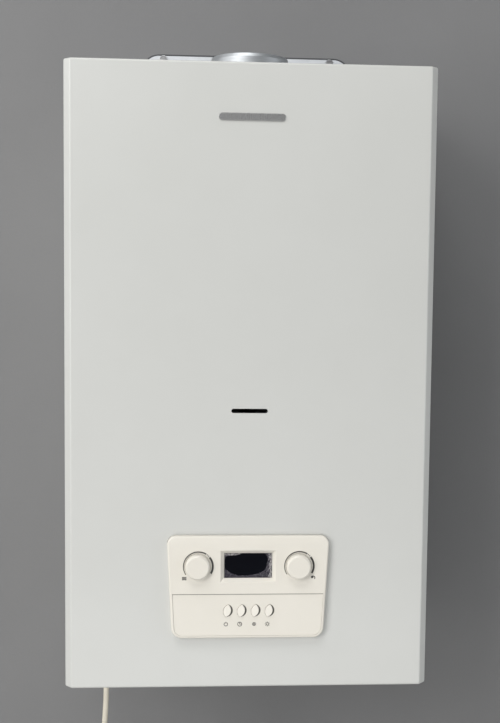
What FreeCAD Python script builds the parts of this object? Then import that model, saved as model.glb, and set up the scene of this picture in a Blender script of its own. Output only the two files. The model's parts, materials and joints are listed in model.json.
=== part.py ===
"""Wall-hung gas boiler with a fan flue, as an assembly of separate pieces, in millimetres.

The origin is midway between the two wall screws, on the wall. +X is right, +Y goes into the wall, +Z is up.
"""
import FreeCAD
import Part
import math
import os

# Casing
casing_width = 435.0
casing_height = 740.0
casing_depth = 320.0
panel_sheet = 1.0
frame_sheet = 1.2
fold_flange = 15.0
seat_gap = 0.3
overrun = 2.0
shortest_edge = 0.001

# Wall bracket and back frame
wall_screw_spacing = 238.0
wall_screw_rise = 60.0
wall_screw_hole = 9.0
bracket_width = 300.0
bracket_rise = 67.0
bracket_tail = 50.0
bracket_sheet = 2.5
bracket_corner = 25.0
bracket_foot_corner = 6.0
bracket_slot_length = 40.0
bracket_slot_width = 8.0
hook_offset = 75.0
hook_width = 28.0
hook_reach = 7.0
hook_lip = 10.0
hook_below_top = 24.0
hook_play = 1.0
rail_width = 20.0
rail_depth = 9.0
rail_inset = 30.0
rail_end = 30.0
spacer_radius = 10.0
spacer_inset = 45.0
spacer_up = 40.0
back_tab_half = 45.0

# Front cover
cover_return = 28.0
cover_bevel = 8.0
cover_bend = 3.0
cover_edge = 2.5
cover_lip = 12.0
cover_gap = 2.0
cover_cutout_play = 0.3
sight_slot_length = 43.0
sight_slot_height = 5.2
stud_radius = 3.0
stud_play = 0.08
stud_length = 12.0
stud_nose = 1.5
stud_collar_radius = 5.0
stud_collar_length = 1.2
stud_end_inset = 62.0

# Control fascia
fascia_height = 123.4
fascia_bottom = 62.4
fascia_top_width = 193.2
fascia_bottom_width = 180.4
fascia_top_corner = 10.0
fascia_bottom_corner = 13.0
fascia_proud = 8.0
fascia_edge = 2.2
fascia_crown_height = 14.0
fascia_crown_drop = 2.2
fascia_wall = 2.5
parting_up = 116.4
insert_rim = 3.0
insert_ledge = 2.5
insert_sunk = 0.7
insert_thickness = 2.4
insert_play = 0.2
display_up = 149.7
recess_width = 66.0
recess_height = 38.4
recess_depth = 4.5
glass_width = 57.0
glass_height = 30.0
window_lap = 2.0
window_thickness = 2.0
window_play = 0.2
display_boss_wall = 3.0
display_frame = 1.2

# Control box and board
control_box_depth = 30.0
control_box_lift = 2.0
control_box_top = 194.0
control_box_wall = 2.2
control_box_corner = 6.0
control_box_play = 0.5
control_cover_sheet = 2.0
cover_clearance = 1.0
pivot_radius = 4.0
pivot_up = 28.0
pivot_inset = 10.0
board_sheet = 1.6
board_setback = 4.4
board_margin = 14.0
post_radius = 4.0
post_inset = 6.0
relay_width = 20.0
relay_depth = 12.0
relay_height = 15.0
pot_radius = 8.0
pot_length = 8.0
pot_bush_radius = 4.2
pot_bush_length = 3.5
switch_size = 6.0
switch_length = 4.0
plunger_radius = 1.7
plunger_length = 1.4

# Knobs
knob_offset = 60.0
knob_up = 149.8
knob_radius = 15.0
knob_waist_radius = 14.4
knob_face_radius = 12.6
knob_length = 9.2
knob_bevel = 1.6
knob_base = 1.6
knob_round = 0.7
knob_float = 0.4
knob_well_depth = 1.2
knob_well_play = 0.7
knob_spindle_radius = 3.0
knob_spindle_length = 12.0
running_play = 0.06
spindle_hole_play = 0.6

# Buttons
button_pitch = 16.5
button_centre = -0.1
button_up = 96.0
button_length = 14.8
button_right_bulge = 4.7
button_left_bulge = 4.2
button_lean = 1.7
button_rise = 2.5
button_low_rise = 0.5
button_round = 0.4
button_tip_round = 1.3
button_play = 0.35
button_flange = 1.2
button_flange_thickness = 1.2
button_stem_radius = 2.0
button_travel = 1.2
button_switch_gap = 0.4
button_names = ("standby_button", "timer_button", "mode_button", "season_button")

# Flue
flue_out = 165.0
collar_radius = 50.0
collar_wall = 1.5
collar_rise = 31.0
collar_bead = 1.2
collar_bead_height = 4.0
collar_flange_radius = 68.0
collar_flange_thickness = 2.0
collar_screw_radius = 2.2
collar_screw_count = 4
collar_screw_inset = 9.0
flue_radius = 30.0
flue_wall = 1.0
flue_rise = 24.0
spigot_play = 0.2
spigot_wall = 1.0
spigot_length = 14.0

# Air box
air_box_side_gap = 12.5
air_box_back_gap = 5.0
air_box_front_gap = 38.0
air_box_height = 476.0
air_box_lip = 14.0
pipe_play = 0.4
window_length = 62.0
window_height = 28.0
window_glass = 4.0
window_lip = 6.0

# Burner, combustion chamber and electrodes
chamber_side_room = 64.0
chamber_back_gap = 37.3
chamber_front_gap = 24.0
chamber_sheet = 1.0
chamber_height = 126.0
burner_height = 46.0
burner_floor_gap = 12.0
insulation_thickness = 12.0
insulation_play = 0.5
chamber_glass_radius = 12.0
chamber_glass_thickness = 3.0
chamber_sight_radius = 8.5
chamber_sight_up = 12.5
bar_count = 13
bar_side_room = 20.0
bar_head_width = 9.0
bar_head_height = 12.0
bar_neck_width = 4.0
bar_foot_width = 13.0
bar_foot_height = 16.0
bar_slit_width = 1.6
bar_slit_depth = 3.0
bar_end_gap = 4.0
burner_rail_height = 9.0
burner_rail_depth = 5.0
manifold_size = 14.0
manifold_gap = 4.0
injector_radius = 3.5
injector_length = 5.0
electrode_places = (-34.0, -22.0, 44.0)
electrode_radius = 3.5
electrode_wire_radius = 1.2
electrode_up = 9.0
electrode_outside = 14.0
electrode_inside = 22.0
electrode_wire = 30.0

# Heat exchanger and flue hood
exchanger_height = 72.0
exchanger_frame = 1.5
fin_count = 26
fin_sheet = 1.6
fin_edge_gap = 3.0
core_height = 18.0
tube_count = 5
tube_edge_room = 16.0
tube_radius = 8.0
cap_length = 9.0
cap_edge = 2.5
hood_sheet = 1.0
hood_skirt = 6.0
hood_rise = 30.0
hood_duct_width = 112.0
hood_duct_depth = 24.0
hood_duct_top_gap = 3.0

# Fan and air switch
fan_depth = 46.0
fan_sheet = 1.0
fan_below_top = 100.0
scroll_radius = 62.0
scroll_growth = 5.0
outlet_width = 56.0
outlet_below_top = 36.0
outlet_plate_lap = 5.0
outlet_plate_sheet = 2.0
inlet_radius = 38.0
impeller_radius = 54.0
impeller_eye_radius = 36.0
impeller_gap = 5.0
blade_count = 16
blade_sheet = 1.6
blade_lean_share = 0.35
impeller_plate = 2.0
hub_radius = 10.0
hub_length = 14.0
shaft_radius = 3.0
shaft_length = 26.0
shaft_hole_play = 3.0
fan_motor_radius = 37.0
fan_motor_length = 40.0
fan_motor_cap_radius = 22.0
fan_motor_cap_length = 6.0
fan_motor_edge = 3.0
switch_disc_radius = 35.0
switch_disc_depth = 12.0
switch_dome_radius = 26.0
switch_dome_depth = 10.0
switch_side_room = 79.0
switch_below_top = 92.0
switch_nipple_radius = 3.0
switch_nipple_length = 14.0

# Expansion vessel and its pipe
vessel_rail_gap = 26.5
vessel_height = 350.0
vessel_depth = 72.0
vessel_corner = 60.0
vessel_edge = 22.0
vessel_sheet = 1.5
vessel_seam = 4.0
vessel_seam_thickness = 3.0
vessel_below_top = 52.0
vessel_port_inset = 50.0
vessel_port_radius = 8.0
vessel_port_wall = 3.0
vessel_port_length = 12.0
vessel_pipe_radius = 5.0
vessel_pipe_bend = 25.0
vessel_pipe_drop = 60.0
vessel_pipe_slant = 50.0

# Connections underneath
connection_pitch = 65.0
connection_out = 85.0
connection_drop = 30.0
three_quarter_radius = 13.2
half_inch_radius = 10.5
connection_wall = 3.0
connection_bore_depth = 40.0
lock_ring_lap = 4.5
lock_ring_height = 4.0

# Valve groups
group_bottom = 24.0
group_height = 46.0
group_depth = 58.0
group_edge = 5.0
group_margin = 20.0
valve_radius = 17.0
valve_height = 34.0
port_radius = 11.0
port_arm_radius = 9.0
port_reach = 42.0
port_height = 22.0
actuator_radius = 21.0
actuator_length = 42.0
actuator_cap_radius = 16.0
actuator_cap_length = 8.0
actuator_edge = 3.0
suction_radius = 15.0
relief_right = 97.0
relief_radius = 9.0
relief_length = 22.0
relief_knob_radius = 13.0
relief_knob_length = 18.0
relief_knob_edge = 2.0
tap_right = 97.0
tap_stem_radius = 4.0
tap_stem_length = 12.0
tap_neck_radius = 8.0
tap_neck_drop = 10.0
tap_knob_radius = 14.0
tap_knob_length = 16.0
tap_knob_gap = 0.5
tap_knob_lobes = 8
tap_knob_lobe_radius = 3.0

# Plate heat exchanger
plates_width = 190.0
plates_height = 74.0
plates_corner = 14.0
plates_count = 10
plates_sheet = 2.4
plates_inset = 1.5

# Pump
pump_right = 130.0
pump_up = 112.0
pump_back_gap = 0.5
pump_radius = 46.0
pump_depth = 42.0
pump_wall = 5.0
pump_edge = 4.0
pump_outlet_offset = 34.0
pump_outlet_radius = 12.0
pump_outlet_rise = 64.0
vent_radius = 11.0
vent_offset = -14.0
vent_height = 24.0
vent_cap_radius = 6.0
vent_cap_height = 8.0
pump_flange = 6.0
pump_motor_radius = 41.0
pump_motor_length = 58.0
pump_motor_cap_radius = 16.0
pump_motor_cap_length = 5.0
pump_motor_groove = 2.0
pump_motor_groove_count = 3
pump_box_width = 46.0
pump_box_height = 18.0
pump_box_depth = 40.0
pump_box_edge = 4.0
rotor_radius = 34.0
rotor_plate = 3.0
rotor_gap = 5.0
rotor_vane_count = 6
rotor_vane_sheet = 2.5
rotor_vane_height = 9.0
rotor_eye_radius = 12.0
rotor_shaft_length = 44.0

# Water pipes
pipe_radius = 9.0
pipe_bend = 22.0
pipe_side_run = 24.0
return_pipe_side_room = 40.0
return_jog_rise = 14.0
return_jog_height = 50.0
flow_pipe_turn_up = 235.0
flow_pipe_foot = 48.0

# Gas
gas_pipe_radius = 8.0
gas_bend = 16.0
gas_inlet_rise = 34.0
gas_inlet_slant = 22.0
gas_valve_out = 155.0
gas_valve_bottom = 78.0
gas_valve_width = 84.0
gas_valve_depth = 88.0
gas_valve_height = 50.0
gas_valve_edge = 6.0
coil_radius = 18.0
coil_height = 34.0
coil_cap_radius = 8.0
coil_cap_height = 5.0
coil_spread = 21.0
gas_outlet_up = 25.0
gas_outlet_run = 24.0
gas_outlet_rise = 52.0
gas_manifold_foot = 46.0

# Mains lead: route points right, out and up, in the casing's own measures
cord_diameter = 7.0
gland_side_inset = 37.3
gland_out = 200.0
gland_flange_radius = 11.0
gland_flange = 3.0
gland_top_radius = 8.0
gland_end_radius = 5.0
gland_length = 32.0
gland_neck_radius = 7.0
gland_neck_length = 8.0
gland_nut_radius = 11.0
gland_hole_play = 0.3
coil_inner_radius = 30.0
coil_pitch = 7.8
coil_turns_per_layer = 2.5
coil_entry_out = 200.0
coil_entry_up = -160.0
coil_entry_right = -185.0
cord_lead_in = 7.0
cord_end_run = 21.0
cord_drop_points = ((-180.2, 200.0, -32.0), (-180.2, 200.0, -53.0), (-181.5, 200.0, -79.0),
                    (-183.4, 200.0, -106.0))
cord_tail_points = ((-187.6, 191.6, -208.0), (-186.6, 192.2, -229.0))
cord_arc_share = 0.45
coil_steps_per_turn = 7200
coil_arcs_per_turn = 4
gap_samples_per_turn = 36
tie_clearance = 0.5
tie_sheet = 1.2
tie_width = 9.0
plug_radius = 18.5
plug_length = 34.0
plug_neck_radius = 7.0
plug_neck_length = 20.0
plug_shoulder = 6.0
plug_pin_radius = 2.4
plug_pin_length = 19.0
plug_pin_pitch = 19.0
plug_clip_width = 6.0
plug_clip_depth = 2.0

# Places worked out from the sizes above
casing_bottom_z = -wall_screw_rise - casing_height
casing_half = casing_width / 2
inner_half = casing_half - panel_sheet
front_inside = casing_depth - panel_sheet
cover_back = casing_depth - cover_return
side_front = cover_back - cover_gap
frame_back = bracket_sheet
frame_front = bracket_sheet + frame_sheet
sheet_half = inner_half - seat_gap
sheet_front = side_front - panel_sheet - seat_gap
top_inside = casing_height - frame_sheet
fascia_face = casing_depth + fascia_proud
knob_back = fascia_face - knob_well_depth + knob_float
fascia_top = fascia_bottom + fascia_height
fascia_back = front_inside - cover_clearance
control_cover_back = fascia_back - control_cover_sheet
control_box_back = control_cover_back - control_box_depth
control_box_bottom = fold_flange + control_box_lift
control_half = inner_half - fold_flange - control_box_play
board_front = control_cover_back - board_setback + board_sheet
insert_floor = fascia_face - insert_sunk - insert_thickness
window_front = fascia_face - recess_depth
window_back = window_front - window_thickness
air_half = inner_half - air_box_side_gap
air_back = frame_front + vessel_depth + air_box_back_gap
air_front = casing_depth - air_box_front_gap
air_floor = top_inside - air_box_height
chamber_front = air_front - chamber_front_gap
chamber_back = air_back + chamber_back_gap
chamber_half = air_half - chamber_side_room
burner_bottom = air_floor + frame_sheet + burner_floor_gap
burner_top = burner_bottom + burner_height
chamber_bottom = burner_top
chamber_top = chamber_bottom + chamber_height
sight_up = chamber_bottom + chamber_sight_up
exchanger_top = chamber_top + exchanger_height
tube_up = chamber_top + exchanger_height / 2
fan_back = flue_out - fan_depth / 2
fan_front = flue_out + fan_depth / 2
fan_right = outlet_width / 2 - scroll_radius - 4 * scroll_growth
switch_right = air_half - switch_side_room
fan_up = top_inside - fan_below_top
outlet_top = top_inside - outlet_below_top
duct_half = collar_radius - collar_wall
tube_first_out = chamber_back + tube_edge_room
tube_last_out = chamber_front - tube_edge_room
tube_pitch = (tube_last_out - tube_first_out) / (tube_count - 1)
bar_pitch = 2 * (chamber_half - bar_side_room) / (bar_count - 1)
group_back = connection_out + connection_pitch / 2 - group_depth
group_front = group_back + group_depth
group_top = group_bottom + group_height
pump_back = group_front + pump_back_gap
pump_front = pump_back + pump_depth
pump_plane = pump_back + pump_depth / 2
pump_outlet_right = pump_right + pump_outlet_offset
return_pipe_right = air_half - return_pipe_side_room
return_pipe_out = pump_plane
flow_right = -2 * connection_pitch
hot_right = -connection_pitch
cold_right = connection_pitch
return_right = 2 * connection_pitch
valve_top = group_top + valve_height
plates_depth = plates_count * plates_sheet + (plates_count - 1) * plates_inset
plates_back = group_back - plates_depth
port_out = connection_out + port_reach
gas_valve_top = gas_valve_bottom + gas_valve_height
gas_valve_front = gas_valve_out + gas_valve_depth / 2
manifold_back = chamber_front + manifold_gap
manifold_out = manifold_back + manifold_size / 2
manifold_up = burner_bottom + bar_foot_height / 2
vessel_top = casing_height - vessel_below_top
vessel_bottom = vessel_top - vessel_height
vessel_out = frame_front + vessel_depth / 2
vessel_half = inner_half - rail_inset - rail_width / 2 - vessel_rail_gap
vessel_port_right = vessel_half - vessel_port_inset
gland_right = gland_side_inset - casing_half
cord_radius = cord_diameter / 2

RIGHT = FreeCAD.Vector(1, 0, 0)
OUT = FreeCAD.Vector(0, -1, 0)
UP = FreeCAD.Vector(0, 0, 1)


def at(right, out, up):
    """A place: right of the middle, out from the wall, up from the casing's bottom edge."""
    return FreeCAD.Vector(right, -out, casing_bottom_z + up)


def block(right_low, right_high, out_low, out_high, up_low, up_high):
    """A box between two places."""
    size = (right_high - right_low, out_high - out_low, up_high - up_low)
    return Part.makeBox(*size, at(right_low, out_high, up_low))


def rod(start, direction, length, radius):
    return Part.makeCylinder(radius, length, start, direction)


def ring(start, direction, length, outer_radius, inner_radius):
    return rod(start, direction, length, outer_radius).cut(rod(start, direction, length, inner_radius))


def rounded_wire(corners, radii):
    """A closed outline with each corner rounded by its own radius."""
    count = len(corners)
    starts, middles, ends = [], [], []
    for index, corner in enumerate(corners):
        before = (corners[index - 1] - corner).normalize()
        after = (corners[(index + 1) % count] - corner).normalize()
        half_angle = before.getAngle(after) / 2
        radius = radii[index]
        reach = radius / math.tan(half_angle)
        bisector = (before + after).normalize()
        starts.append(corner + before * reach)
        middles.append(corner + bisector * (radius / math.sin(half_angle) - radius))
        ends.append(corner + after * reach)
    edges = []
    for index in range(count):
        if radii[index] > 0:
            edges.append(Part.Arc(starts[index], middles[index], ends[index]).toShape())
        following = starts[(index + 1) % count]
        if ends[index].distanceToPoint(following) > shortest_edge:
            edges.append(Part.LineSegment(ends[index], following).toShape())
    return Part.Wire(edges)


def slab(corners, radii, direction):
    """A plate with a rounded outline, drawn out along a direction."""
    return Part.Face(rounded_wire(corners, radii)).extrude(direction)


def oblong_corners(right, out, up, width, height):
    half_width, half_height = width / 2, height / 2
    return [at(right - half_width, out, up - half_height), at(right + half_width, out, up - half_height),
            at(right + half_width, out, up + half_height), at(right - half_width, out, up + half_height)]


def rounded_plate(right, out, up, width, height, radius, depth):
    """A plate square to the wall's normal, with four equal corners, drawn outwards."""
    return slab(oblong_corners(right, out, up, width, height), [radius] * 4, OUT * depth)


def profile_slab(places, direction):
    """A plate with sharp corners, drawn out along a direction."""
    return Part.Face(Part.makePolygon(places + places[:1])).extrude(direction)


def turned(profile, base, direction, rounds=()):
    """A turned piece: radius and distance pairs, rounded where asked, spun about a line."""
    places = [FreeCAD.Vector(radius, 0, along) for radius, along in profile]
    outline = rounded_wire(places, rounds) if rounds else Part.makePolygon(places + places[:1])
    solid = Part.Face(outline).revolve(FreeCAD.Vector(), UP, 360)
    solid.Placement = FreeCAD.Placement(base, FreeCAD.Rotation(UP, direction))
    return solid


def straight_along(edge, direction):
    """Whether an edge is straight and lies along a direction."""
    if edge.Curve.TypeId != "Part::GeomLine":
        return False
    return abs(edge.tangentAt(edge.FirstParameter).dot(direction)) > 1 - shortest_edge


def edges_along(shape, direction):
    return [edge for edge in shape.Edges if straight_along(edge, direction)]


def edges_level(shape, direction, place):
    """The edges that lie in the plane through a place, square to a direction."""
    found = []
    for edge in shape.Edges:
        if all(abs((vertex.Point - place).dot(direction)) < shortest_edge for vertex in edge.Vertexes):
            if abs((edge.CenterOfMass - place).dot(direction)) < shortest_edge:
                found.append(edge)
    return found


def tangent_arc(start, corner, end):
    """The arc that leaves start towards the corner and reaches end from it, with equal legs."""
    chord_middle = (start + end) * 0.5
    half_turn = (corner - start).getAngle(end - corner) / 2
    middle = chord_middle + (corner - chord_middle) * (math.tan(half_turn / 2) / math.tan(half_turn))
    return Part.Arc(start, middle, end).toShape()


def route(places, bend=None):
    """A path of straight runs and tangent arcs, and its bend radii.

    A rigid pipe has one bend radius. Without it each arc is as large as its two runs allow.
    A corner where the runs are in line needs no arc.
    """
    edges, radii = [], []
    start = places[0]
    for before, corner, after in zip(places, places[1:], places[2:]):
        back, ahead = before - corner, after - corner
        half_turn = (math.pi - back.getAngle(ahead)) / 2
        if half_turn < shortest_edge:
            continue
        leg = bend * math.tan(half_turn) if bend else cord_arc_share * min(back.Length, ahead.Length)
        arc_start = corner + back.normalize() * leg
        arc_end = corner + ahead.normalize() * leg
        edges.append(Part.LineSegment(start, arc_start).toShape())
        edges.append(tangent_arc(arc_start, corner, arc_end))
        radii.append(leg / math.tan(half_turn))
        start = arc_end
    edges.append(Part.LineSegment(start, places[-1]).toShape())
    return Part.Wire(edges), radii


def swept(path, radius):
    """A round bar along a path."""
    first = path.OrderedEdges[0]
    start = first.valueAt(first.FirstParameter)
    heading = first.tangentAt(first.FirstParameter)
    circle = Part.Wire(Part.makeCircle(radius, start, heading))
    return path.makePipeShell([circle], True, False)


def pipe(places, radius, bend):
    return swept(route(places, bend)[0], radius)


def joined(shapes):
    """One solid of shapes that touch or overlap."""
    return shapes[0].fuse(shapes[1:]).removeSplitter()


def keep(name, shape):
    shape.exportStep("parts/" + name + ".step")


# Casing


def wall_bracket():
    half = bracket_width / 2
    low, high = casing_height - bracket_tail, casing_height + bracket_rise
    corners = [at(-half, 0, low), at(half, 0, low), at(half, 0, high), at(-half, 0, high)]
    radii = [bracket_foot_corner, bracket_foot_corner, bracket_corner, bracket_corner]
    plate = slab(corners, radii, OUT * bracket_sheet)
    slot_up = casing_height + wall_screw_rise / 2
    cuts = [rounded_plate(0, 0, slot_up, bracket_slot_length, bracket_slot_width,
                          bracket_slot_width / 2, bracket_sheet)]
    hooks = []
    hook_up = casing_height - hook_below_top
    for side in (-1, 1):
        screw = at(side * wall_screw_spacing / 2, 0, casing_height + wall_screw_rise)
        cuts.append(rod(screw, OUT, bracket_sheet, wall_screw_hole / 2))
        left = side * hook_offset - hook_width / 2
        far = bracket_sheet + hook_reach
        bent = [at(left, bracket_sheet, hook_up), at(left, far, hook_up), at(left, far, hook_up + hook_lip),
                at(left, far - bracket_sheet, hook_up + hook_lip),
                at(left, far - bracket_sheet, hook_up + bracket_sheet),
                at(left, bracket_sheet, hook_up + bracket_sheet)]
        hooks.append(profile_slab(bent, RIGHT * hook_width))
    return joined([plate.cut(cuts)] + hooks)


def back_frame():
    plate = block(-sheet_half, sheet_half, frame_back, frame_front, 0, casing_height)
    hook_up = casing_height - hook_below_top
    slots, pieces = [], []
    for side in (-1, 1):
        middle = side * hook_offset
        reach = hook_width / 2 + hook_play
        slots.append(block(middle - reach, middle + reach, frame_back - overrun, frame_front + overrun,
                           hook_up - hook_play, hook_up + hook_lip + hook_play))
        rail_middle = side * (inner_half - rail_inset)
        low, high = rail_middle - rail_width / 2, rail_middle + rail_width / 2
        hat = [at(low, frame_front, rail_end), at(high, frame_front, rail_end),
               at(high - rail_depth / 2, frame_front + rail_depth, rail_end),
               at(low + rail_depth / 2, frame_front + rail_depth, rail_end)]
        pieces.append(profile_slab(hat, UP * (casing_height - 2 * rail_end)))
        spacer = at(side * (casing_half - spacer_inset), 0, spacer_up)
        pieces.append(rod(spacer, OUT, bracket_sheet, spacer_radius))
    return joined([plate.cut(slots)] + pieces)


def side_panel(side):
    """A folded side with a flange at the back and one at the front, where the studs go in."""
    outer, inner = side * casing_half, side * inner_half
    flange = side * (inner_half - fold_flange)
    back, front = frame_front, side_front
    profile = [at(outer, back, 0), at(outer, front, 0), at(flange, front, 0),
               at(flange, front - panel_sheet, 0),
               at(inner, front - panel_sheet, 0), at(inner, back + panel_sheet, 0),
               at(flange, back + panel_sheet, 0), at(flange, back, 0)]
    panel = profile_slab(profile, UP * casing_height)
    holes = []
    for up in (stud_end_inset, casing_height - stud_end_inset):
        start = at(side * stud_right(), side_front - panel_sheet - overrun, up)
        holes.append(rod(start, OUT, panel_sheet + 2 * overrun, stud_radius + stud_play))
    return panel.cut(holes)


def stud_right():
    """How far the studs stand from the middle: halfway along the cover's lip."""
    return inner_half - cover_lip / 2


def folded_tray(up_low, up_high, plate_low, plate_high):
    """A sheet with its left, right and front edges folded, and a tab at the back."""
    shell = block(-sheet_half, sheet_half, frame_front, sheet_front, up_low, up_high)
    room_low = plate_high if plate_low == up_low else up_low - overrun
    room_high = up_high + overrun if plate_low == up_low else plate_low
    room = block(-sheet_half + frame_sheet, sheet_half - frame_sheet, frame_front - overrun,
                 sheet_front - frame_sheet, room_low, room_high)
    corner = block(inner_half - fold_flange - seat_gap, casing_half, frame_front - overrun,
                   frame_front + panel_sheet + seat_gap, up_low - overrun, up_high + overrun)
    tab = block(-back_tab_half, back_tab_half, frame_front, frame_front + frame_sheet, up_low, up_high)
    return shell.cut([room, corner, corner.mirror(FreeCAD.Vector(), RIGHT)]).fuse(tab)


def top_plate():
    tray = folded_tray(casing_height - fold_flange, casing_height, top_inside, casing_height)
    hole = rod(at(0, flue_out, top_inside - overrun), UP, frame_sheet + 2 * overrun, duct_half)
    return tray.cut(hole).removeSplitter()


def connections():
    """Each pipe end under the tray: where it stands and its radius."""
    return ((flow_right, three_quarter_radius), (hot_right, half_inch_radius), (0, three_quarter_radius),
            (cold_right, half_inch_radius), (return_right, three_quarter_radius))


def bottom_tray():
    tray = folded_tray(0, fold_flange, 0, frame_sheet)
    depth = frame_sheet + 2 * overrun
    holes = [rod(at(right, connection_out, -overrun), UP, depth, radius + pipe_play)
             for right, radius in connections()]
    holes.append(rod(at(gland_right, gland_out, -overrun), UP, depth, gland_neck_radius + gland_hole_play))
    holes.append(rod(at(tap_right, connection_out, -overrun), UP, depth, tap_neck_radius + pipe_play))
    return tray.cut(holes).removeSplitter()


def fascia_corners(out, grow):
    """The fascia's tapered outline, larger by grow all round."""
    top, bottom = fascia_top + grow, fascia_bottom - grow
    slope = (fascia_top_width - fascia_bottom_width) / 2 / fascia_height
    top_half = fascia_top_width / 2 + grow + grow * slope
    bottom_half = fascia_bottom_width / 2 + grow - grow * slope
    return [at(-bottom_half, out, bottom), at(bottom_half, out, bottom),
            at(top_half, out, top), at(-top_half, out, top)]


def fascia_slab(back, front, grow):
    radii = [fascia_bottom_corner + grow] * 2 + [fascia_top_corner + grow] * 2
    return slab(fascia_corners(back, grow), radii, OUT * (front - back))


def cover_shell(shrink, back):
    """The front cover's form with bevelled upright edges, smaller by shrink on all sides but the back."""
    half, front = casing_half - shrink, casing_depth - shrink
    low, high = shrink, casing_height - shrink
    bevel = cover_bevel - shrink * (2 - math.sqrt(2))
    bend = cover_bend - shrink
    corners = [at(-half, back, low), at(-half, front - bevel, low), at(-half + bevel, front, low),
               at(half - bevel, front, low), at(half, front - bevel, low), at(half, back, low)]
    form = slab(corners, [0, bend, bend, bend, bend, 0], UP * (high - low))
    rims = [edge for up in (low, high) for edge in edges_level(form, UP, at(0, 0, up))]
    rims = [edge for edge in rims if abs(edge.CenterOfMass.y + back) > shortest_edge]
    return form.makeFillet(cover_edge - shrink, rims)


def front_cover():
    outer = cover_shell(0, cover_back)
    inner = cover_shell(panel_sheet, cover_back + panel_sheet)
    lip_half = inner_half - cover_lip
    mouth = block(-lip_half, lip_half, cover_back - overrun, cover_back + 2 * overrun,
                  panel_sheet + cover_lip, casing_height - panel_sheet - cover_lip)
    slot = rounded_plate(0, front_inside - overrun, sight_up, sight_slot_length, sight_slot_height,
                         sight_slot_height / 2, panel_sheet + 2 * overrun)
    cutout = fascia_slab(front_inside - overrun, casing_depth + overrun, cover_cutout_play)
    return outer.cut([inner, mouth, slot, cutout])


def cover_studs():
    """Four studs with a collar on the cover's lip and a tapered nose."""
    profile = [(0, 0), (stud_collar_radius, 0), (stud_collar_radius, stud_collar_length),
               (stud_radius, stud_collar_length), (stud_radius, stud_length - stud_nose),
               (stud_radius - stud_nose, stud_length), (0, stud_length)]
    studs = []
    for side in (-1, 1):
        for up in (stud_end_inset, casing_height - stud_end_inset):
            studs.append(turned(profile, at(side * stud_right(), cover_back, up), OUT * -1))
    return Part.makeCompound(studs)


# Controls


def insert_slab(back, front, inset, top):
    """The lower insert's outline: the fascia's own outline drawn in, up to the parting line."""
    form = fascia_slab(back, front, -inset)
    above = block(-casing_half, casing_half, back - overrun, front + overrun, top, casing_height)
    return form.cut(above)


def knob_places():
    return (-knob_offset, knob_offset)


def button_places():
    first = button_centre - button_pitch * (len(button_names) - 1) / 2
    return [first + button_pitch * index for index in range(len(button_names))]


def crowned_fascia():
    """The fascia's outside: a flat face that curves back along its top, with a rounded edge."""
    turn = math.atan(fascia_crown_drop / fascia_crown_height)
    radius = fascia_crown_height / math.sin(2 * turn)
    crown_up = fascia_top - fascia_crown_height
    half = fascia_top_width
    low, high = fascia_bottom - overrun, fascia_top + overrun
    over_drop = radius - math.sqrt(radius ** 2 - (fascia_crown_height + overrun) ** 2)
    mid_drop = radius * (1 - math.cos(turn))
    start = at(-half, fascia_face, crown_up)
    middle = at(-half, fascia_face - mid_drop, crown_up + radius * math.sin(turn))
    end = at(-half, fascia_face - over_drop, high)
    corners = [end, at(-half, fascia_back, high), at(-half, fascia_back, low),
               at(-half, fascia_face, low), start]
    straights = [Part.LineSegment(one, other).toShape() for one, other in zip(corners, corners[1:])]
    side = Part.Face(Part.Wire(straights + [Part.Arc(start, middle, end).toShape()]))
    form = fascia_slab(fascia_back, fascia_face + overrun, 0).common(side.extrude(RIGHT * (2 * half)))
    crease = edges_level(form, UP, at(0, 0, crown_up))
    rim = []
    for edge in form.Edges:
        ahead = min(-vertex.Point.y for vertex in edge.Vertexes) > casing_depth
        upright = straight_along(edge, OUT)
        if ahead and not upright and not any(edge.isSame(other) for other in crease):
            rim.append(edge)
    return form.makeFillet(fascia_edge, rim)


def control_fascia():
    """The moulded front: hollow back, sloped display recess, knob wells and sunk lower panel."""
    form = crowned_fascia()
    inside = fascia_face - fascia_wall - fascia_crown_drop
    cavity = fascia_slab(fascia_back - overrun, inside, -fascia_wall)
    floor = block(-casing_half, casing_half, insert_floor - insert_ledge, casing_depth + 2 * fascia_proud,
                  0, parting_up + insert_ledge)
    form = form.cut(cavity.cut(floor))
    boss = block(-glass_width / 2 - window_lap - display_boss_wall,
                 glass_width / 2 + window_lap + display_boss_wall,
                 window_back, fascia_face - fascia_wall,
                 display_up - glass_height / 2 - window_lap - display_boss_wall,
                 display_up + glass_height / 2 + window_lap + display_boss_wall)
    form = form.fuse(boss)
    outer = Part.makePolygon(closed(oblong_corners(0, fascia_face, display_up, recess_width,
                                                   recess_height)))
    inner = Part.makePolygon(closed(oblong_corners(0, window_front, display_up, glass_width, glass_height)))
    recess = Part.makeLoft([inner, outer], True, True)
    pocket = block(-glass_width / 2 - window_lap - window_play, glass_width / 2 + window_lap + window_play,
                   window_back - overrun, window_front,
                   display_up - glass_height / 2 - window_lap - window_play,
                   display_up + glass_height / 2 + window_lap + window_play)
    cuts = [recess, pocket, insert_slab(insert_floor, fascia_face + overrun, insert_rim, parting_up),
            insert_slab(fascia_back - overrun, insert_floor + overrun, insert_rim + insert_ledge,
                        parting_up - insert_ledge)]
    for right in knob_places():
        start = at(right, fascia_back, knob_up)
        cuts.append(rod(start, OUT, fascia_face - fascia_back + overrun,
                        pot_bush_radius + spindle_hole_play))
        well = at(right, fascia_face - knob_well_depth, knob_up)
        cuts.append(rod(well, OUT, knob_well_depth + overrun, knob_radius + knob_well_play))
    return form.cut(cuts).removeSplitter()


def closed(places):
    return places + places[:1]


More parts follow.
